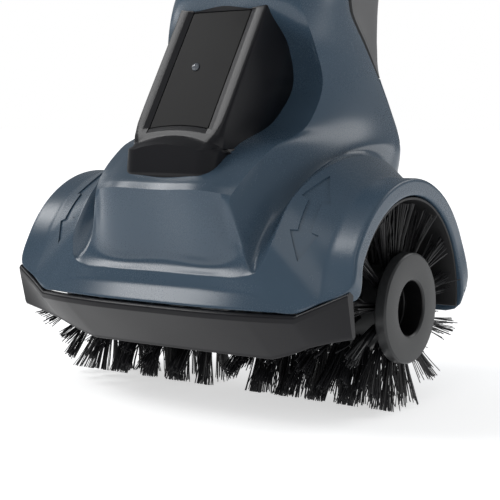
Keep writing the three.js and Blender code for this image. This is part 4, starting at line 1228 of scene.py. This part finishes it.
def build_tube_clamp():
    """Split collar with ears, and its cam lever."""
    top, collar = LOWER_END + 16, 22.0
    turned_piece("clamp_collar_ring", [
        (LOWER_R + 0.3, LOWER_END - 34), (collar - 2, LOWER_END - 34), (collar, LOWER_END - 30),
        (collar, LOWER_END - 26), (collar - 0.8, LOWER_END - 25), (collar - 0.8, LOWER_END - 23),
        (collar, LOWER_END - 22), (collar, top - 9), (collar - 3, top), (UPPER_R + 0.5, top),
        (UPPER_R + 0.5, LOWER_END + 0.3), (LOWER_R + 0.3, LOWER_END + 0.3)],
        from_pole, "head", "black_shell", "clamp_collar", radius=0.9)
    pin = np.array((collar + 6, LOWER_END - 8))
    turn = np.linspace(-np.pi / 2, np.pi / 2, 13)
    nose = pin + np.stack([8.6 * np.cos(turn) - 4, 9 * np.sin(turn)], -1)
    ear = [(collar - 3, pin[1] - 9), *nose, (collar - 3, pin[1] + 9)]
    for side, name in ((-1, "left"), (1, "right")):
        prism(f"clamp_ear_{name}", ear, side * 8 - 2, side * 8 + 2, "head", "black_shell", edge=0.7)
    turn = np.linspace(np.radians(100), np.radians(-60), 15)
    hub = 5.0 * np.stack([np.cos(turn), np.sin(turn)], -1)
    arm = [(4.6, -14), (3.8, -34), (1.4, -52), (-1.2, -61.5), (-3.8, -61.5), (-3.4, -54), (-1.2, -34),
           (-2.4, -8), (-4.6, -1.5), (-3.8, 3)]
    prism("clamp_lever_cam", pin + [*hub, *arm], -5.5, 5.5, "lever", "accent", "clamp_lever", 1.1, 4)


def build_loop():
    """Second handle: clamp, tube loop with its eyes, ribbed grip and lobed knob."""
    turned_piece("aux_clamp_band", [
        (UPPER_R + 0.3, AUX_AT - 16), (20, AUX_AT - 16), (20, AUX_AT + 16),
        (UPPER_R + 0.3, AUX_AT + 16)],
        from_pole, "upper", "black_shell", "aux_clamp", radius=1.6)
    turn = np.linspace(np.pi * 0.5, np.pi * 1.5, 17)
    nose = np.stack([AUX_Y - 0.5 + 11 * np.cos(turn), AUX_AT + 11 * np.sin(turn)], -1)
    prism("aux_clamp_boss", [(-14, AUX_AT + 11), *nose, (-14, AUX_AT - 11)], -13, 13, "upper",
          "black_shell", edge=1.2)

    hinge = np.array((0, AUX_Y, AUX_AT))
    eye_in, eye_out, reach, rise, half = 13.4, 22.0, 92.0, 34.0, 74.0
    side = np.array([(eye_in + 4.3, -4, 1), (eye_in + 4.3, -14, 5), (eye_in + 4.3, -22, 8),
                     (eye_in + 13, -34, 12), (half * 0.75, -50, 19), (half, -reach * 0.76, 26),
                     (half * 0.92, -reach * 0.95, 32), (half * 0.6, -reach, rise)])
    points = np.concatenate([side, [(0, -reach, rise)], side[::-1] * (-1, 1, 1)]) + hinge
    path = through(points, [6] * (len(points) - 1))
    ends = np.minimum(np.arange(len(path)), np.arange(len(path))[::-1])
    radius = 8.0 - 3.8 * np.clip(1 - ends / 14, 0, 1)**1.5
    loft_piece("aux_handle_loop", from_pole(swept(path, radius, 28)), "loop", "black_shell",
               "aux_handle", smooth_angle=60)
    for side, name in ((1, "right"), (-1, "left")):
        turned_piece(f"aux_eye_{name}", [(3.8, eye_in), (11, eye_in), (11, eye_out), (3.8, eye_out)],
                     lambda p, s=side: from_pole(about_x(p, s) + hinge), "loop", "black_shell",
                     sides=64, radius=1.0)

    grip = half * 0.5
    ribs = [(r, at + step) for at in np.arange(-grip + 5, grip - 4, 5.0)
            for r, step in ((13.0, 0), (13.0, 3.2), (12.2, 3.6), (12.2, 4.6))]
    turned_piece("aux_grip_sleeve", [(9, -grip), (12.2, -grip), *ribs, (12.2, grip), (9, grip)],
                 lambda p: from_pole(about_x(p) + hinge + (0, -reach, rise)), "loop", "rubber",
                 "aux_grip", 64, 0.45)
    turn = np.linspace(0, 2 * np.pi, 144, endpoint=False)
    lobes = 13.4 + 1.4 * np.cos(6 * turn)
    rings = [ring_at_x(eye_out + 0.3 + x, lobes - less, turn) + hinge for x, less in (
        (0, 4), (0, 0.9), (0.9, 0), (12, 0), (15.5, 0.9), (17.4, 2.8), (18, 5.5), (17.6, 8), (17.3, 10))]
    loft_piece("aux_knob_lobed", from_pole(rings), "knob", "accent", "aux_knob", smooth_angle=40)


# ---------------------------------------------------------------- main handle
def handle_stations():
    """Half width and half depth of the handle along the pole, smoothed from its main stations."""
    rows = np.array([(GRIP_START + 12, 21.5, 23), (GRIP_START + 40, 24, 27), (GRIP_START + 62, 20, 23),
                     (TRIGGER_AT + 26, 19, 22), (GRIP_END - 58, 19, 22), (GRIP_END - 34, 24, 28),
                     (GRIP_END - 16, 33, 46), (GRIP_END - 5, 36.4, 53)])
    fine = through(rows, [7] * (len(rows) - 1))
    nose = [(GRIP_START, 17.5, 17.5), (GRIP_START + 0.4, 18.6, 18.6), (GRIP_START + 1.8, 19.6, 19.9)]
    return [*nose, *fine, (GRIP_END - 1.2, 37, 54), (GRIP_END - 0.3, 36.6, 53.6), (GRIP_END, 35.8, 52.8)]


def build_handle():
    """Two half shells with a fine parting line, and openings for trigger, button and dial."""
    columns, parting = 41, 0.22
    turn = np.linspace(-np.pi / 2, np.pi / 2, columns)
    cos, sin = np.cos(turn), np.sin(turn)
    bow_x, bow_y = (np.sign(part) * np.abs(part)**(2 / HANDLE_POWER) for part in (cos, sin))
    middle = from_pole((0, 0, (GRIP_START + GRIP_END) / 2))
    for side, name in ((1, "right"), (-1, "left")):
        rings = [np.stack([side * (half_x * bow_x + parting), half_y * bow_y, np.full(columns, s)], -1)
                 for s, half_x, half_y in handle_stations()]
        points = from_pole(rings).reshape(-1, 3)
        faces = turned_away(points, grid_faces(len(rings), columns), middle)
        piece = new_piece(f"handle_half_{name}", points, faces, "upper", "housing",
                          f"handle_shell_{name}", smooth_angle=180)
        thicken(piece, HANDLE_WALL)
        settle(piece)
        carve(piece, box_tool(6.7, 8, 40, TRIGGER_AT, 19.8), box_tool(5.6, -40, -8, LOCK_AT, 6.6),
              box_tool(4.5, -45, -10, DIAL_AT, 11))

    low, high, half_x, half_y = TRIGGER_AT + 27.5, GRIP_END - 59.5, 21.2, 24.2
    rows = [(low, 1.6), (low + 0.3, 0.6), (low + 1.4, 0)]
    for at in np.arange(low + 3, high - 3, 3.0):
        rows += [(at, 0), (at + 0.3, 0.45), (at + 1.1, 0.45), (at + 1.4, 0)]
    rows += [(high - 1.4, 0), (high - 0.3, 0.6), (high, 1.6)]
    stations = [(s, half_x - less, half_y - less) for s, less in rows]
    pole_loft("grip_sleeve_ribbed", stations, HANDLE_POWER, "upper", "rubber", "grip_sleeve", 96)

    outline = [(12, -19), (25.6, -18.4), (28.4, -13), (29, -8), (28.0, 0), (27.5, 6), (28.0, 13),
               (27.6, 18.4), (12, 19)]
    prism("trigger_lever", outline + np.array((0, TRIGGER_AT)), -6, 6, "trigger", "accent", "trigger",
          1.6, 4)
    push_button("lock_off_button_cap", 5, 6, LOCK_AT, (
        (-12, 0), (-24.4, 0), (-25.1, 0.35), (-25.4, 1.0), (-25.2, 2.2), (-25.0, 3.6)),
        "lock_button", "lock_off_button", 40)
    turn = np.linspace(0, 2 * np.pi, 120, endpoint=False)
    knurl = 9.0 - 0.45 * (0.5 + 0.5 * np.cos(30 * turn))
    rings = [ring_at_x(x, knurl - less, turn) + (0, -21, DIAL_AT) for x, less in (
        (-3.6, 4), (-3.6, 0.7), (-3.0, 0), (3.0, 0), (3.6, 0.7), (3.6, 4))]
    loft_piece("speed_dial_knurled", from_pole(rings), "dial", "black_shell", "speed_dial", "liner", 50)


def build_battery():
    """Slide-on pack: case with side grips, lid with a soft edge, and its release button."""
    low, height, half_x, half_y = GRIP_END + 2, 48, 37.0, 56.0
    top = low + height

    def moulding(name, rows, slot, node):
        """Rounded rectangles up the pack. A row is a distance and how much smaller it is."""
        stations = [(s, half_x - less, half_y - less) for s, less in rows]
        pole_loft(name, stations, 6, "battery", slot, node, 120)

    moulding("battery_case_moulding", [
        (low + 6.9, 3), (low + 6.9, 0.8), (low + 7.6, 0.1), (low + 12, 0), (low + 12.2, 0.5),
        (low + 13.4, 0.5), (low + 13.6, 0), (top - 1.0, 0), (top - 0.3, 0.4), (top, 1.2)],
        "black_shell", "battery_case")
    rail_gap = 18.6
    section = np.array([(rail_gap, 0, 0), (half_x - 1.4, 0, 0), (half_x - 0.6, 0, 0.8),
                        (half_x - 0.2, 0, 7), (rail_gap, 0, 7)]) + (0, 0, low)
    for side, name in ((-1, "left"), (1, "right")):
        rings = [section * (side * narrow, 1, 1) + (0, y, 0) for y, narrow in (
            (6 - half_y, 0.985), (8 - half_y, 1), (half_y - 8, 1), (half_y - 6, 0.985))]
        loft_piece(f"battery_foot_{name}", from_pole(rings), "battery", "black_shell")
    moulding("battery_lid_moulding", [
        (top + 0.3, 1.0), (top + 0.6, 0.2), (top + 1.2, 0), (top + 6.2, 0), (top + 8.4, 0.8),
        (top + 9.6, 2.2), (top + 10, 4.2), (top + 10, 12), (top + 9.4, 14), (top + 9.4, 24)],
        "housing", "battery_lid")
    base = half_y - 0.7
    push_button("battery_button_cap", 10, 7, low + 26, (
        (base, 0), (base + 2.6, 0), (base + 3.4, 0.4), (base + 3.8, 1.2), (base + 3.5, 3),
        (base + 3.3, 5)),
        "battery_button", "battery_release_button", 48)


# ---------------------------------------------------------------- stage
def build_camera():
    """Camera in front, to the right and a little above the head."""
    data = bpy.data.cameras.new("camera")
    data.lens = 89.2
    camera = bpy.data.objects.new("camera", data)
    bpy.context.scene.collection.objects.link(camera)
    look = Vector((-0.5617, 0.8213, -0.1000))
    camera.location = Vector(AXLE) + Vector((0.4181, -0.6022, 0.0993))
    camera.rotation_euler = look.to_track_quat("-Z", "Y").to_euler()
    data.clip_start, data.clip_end = 0.05, 50
    bpy.context.scene.camera = camera


def soft_box(name, place, aim, width, height, watts):
    """An area light at a place, facing the point it lights."""
    data = bpy.data.lights.new(name, "AREA")
    data.shape = "RECTANGLE"
    data.size, data.size_y = width, height
    data.energy = watts
    light = bpy.data.objects.new(name, data)
    light.location = place
    light.rotation_euler = (Vector(aim) - Vector(place)).to_track_quat("-Z", "Y").to_euler()
    bpy.context.scene.collection.objects.link(light)


def build_world():
    """White surroundings to the camera that light the machine only dimly and a little cool."""
    world = bpy.data.worlds.new("studio")
    world.use_nodes = True
    tree = world.node_tree
    seen, lit = tree.nodes["Background"], tree.nodes.new("ShaderNodeBackground")
    seen.inputs["Color"].default_value = (1, 1, 1, 1)
    lit.inputs["Color"].default_value = (0.94, 0.97, 1, 1)
    lit.inputs["Strength"].default_value = 0.26
    choose, ray = tree.nodes.new("ShaderNodeMixShader"), tree.nodes.new("ShaderNodeLightPath")
    for output, socket in ((ray.outputs["Is Camera Ray"], choose.inputs[0]),
                           (lit.outputs[0], choose.inputs[1]), (seen.outputs[0], choose.inputs[2]),
                           (choose.outputs[0], tree.nodes["World Output"].inputs["Surface"])):
        tree.links.new(output, socket)
    bpy.context.scene.world = world
    bpy.context.scene.view_settings.view_transform = "Standard"


def build_floor():
    """Wide pale floor that glows a little, more with its distance from the machine."""
    size = 30.0
    corners = [(-size, -size, 0), (size, -size, 0), (size, size, 0), (-size, size, 0)]
    floor = new_object("floor", corners, [(0, 1, 2, 3)])
    paint = Finish("floor_paint", (0.9, 0.9, 0.9), 0.8, Emission_Strength=1.0)
    speckle = paint.noise(160, 2)
    x, y, z = paint.parts(paint.place)
    away = (((x * x + y * y)**0.5 - 0.35) * 0.6).clamp()
    glow = paint.mix(away, (0.6, 0.6, 0.6), (0.95, 0.95, 0.95))
    pale = paint.mix(speckle, (0.89, 0.89, 0.89), (0.91, 0.91, 0.91))
    floor.data.materials.append(paint.finish(pale, glow=glow))


def build_stage():
    """Floor, surroundings and four soft boxes round the head."""
    build_floor()
    build_world()
    aim = AXLE + (0, 0, 0.05)
    soft_box("key_box", AXLE + (-1.34, -0.66, 1.62), aim, 1.1, 0.6, 17)
    soft_box("left_box", AXLE + (-1.75, 0.1, 0.95), aim, 0.6, 0.5, 2.5)
    soft_box("rear_box", AXLE + (1.2, 2.0, 1.6), aim + (0, 0, 0.5), 1.4, 1.4, 14)
    soft_box("fill_box", AXLE + (0.6, -1.6, 2.4), aim + (0, 0, 0.4), 1.6, 1.6, 9)


build_camera()
finish_cad_nodes()
build_housing()
build_guard()
build_cover()
build_panel()
build_lens()
draw = np.random.default_rng(SEED)
for side, name in ((1, "right"), (-1, "left")):
    build_drum(side, name)
    build_tufts(side, name, draw)
    build_screw(side, name)
build_shield()
build_pole()
build_tube_clamp()
build_loop()
build_handle()
build_battery()
build_stage()
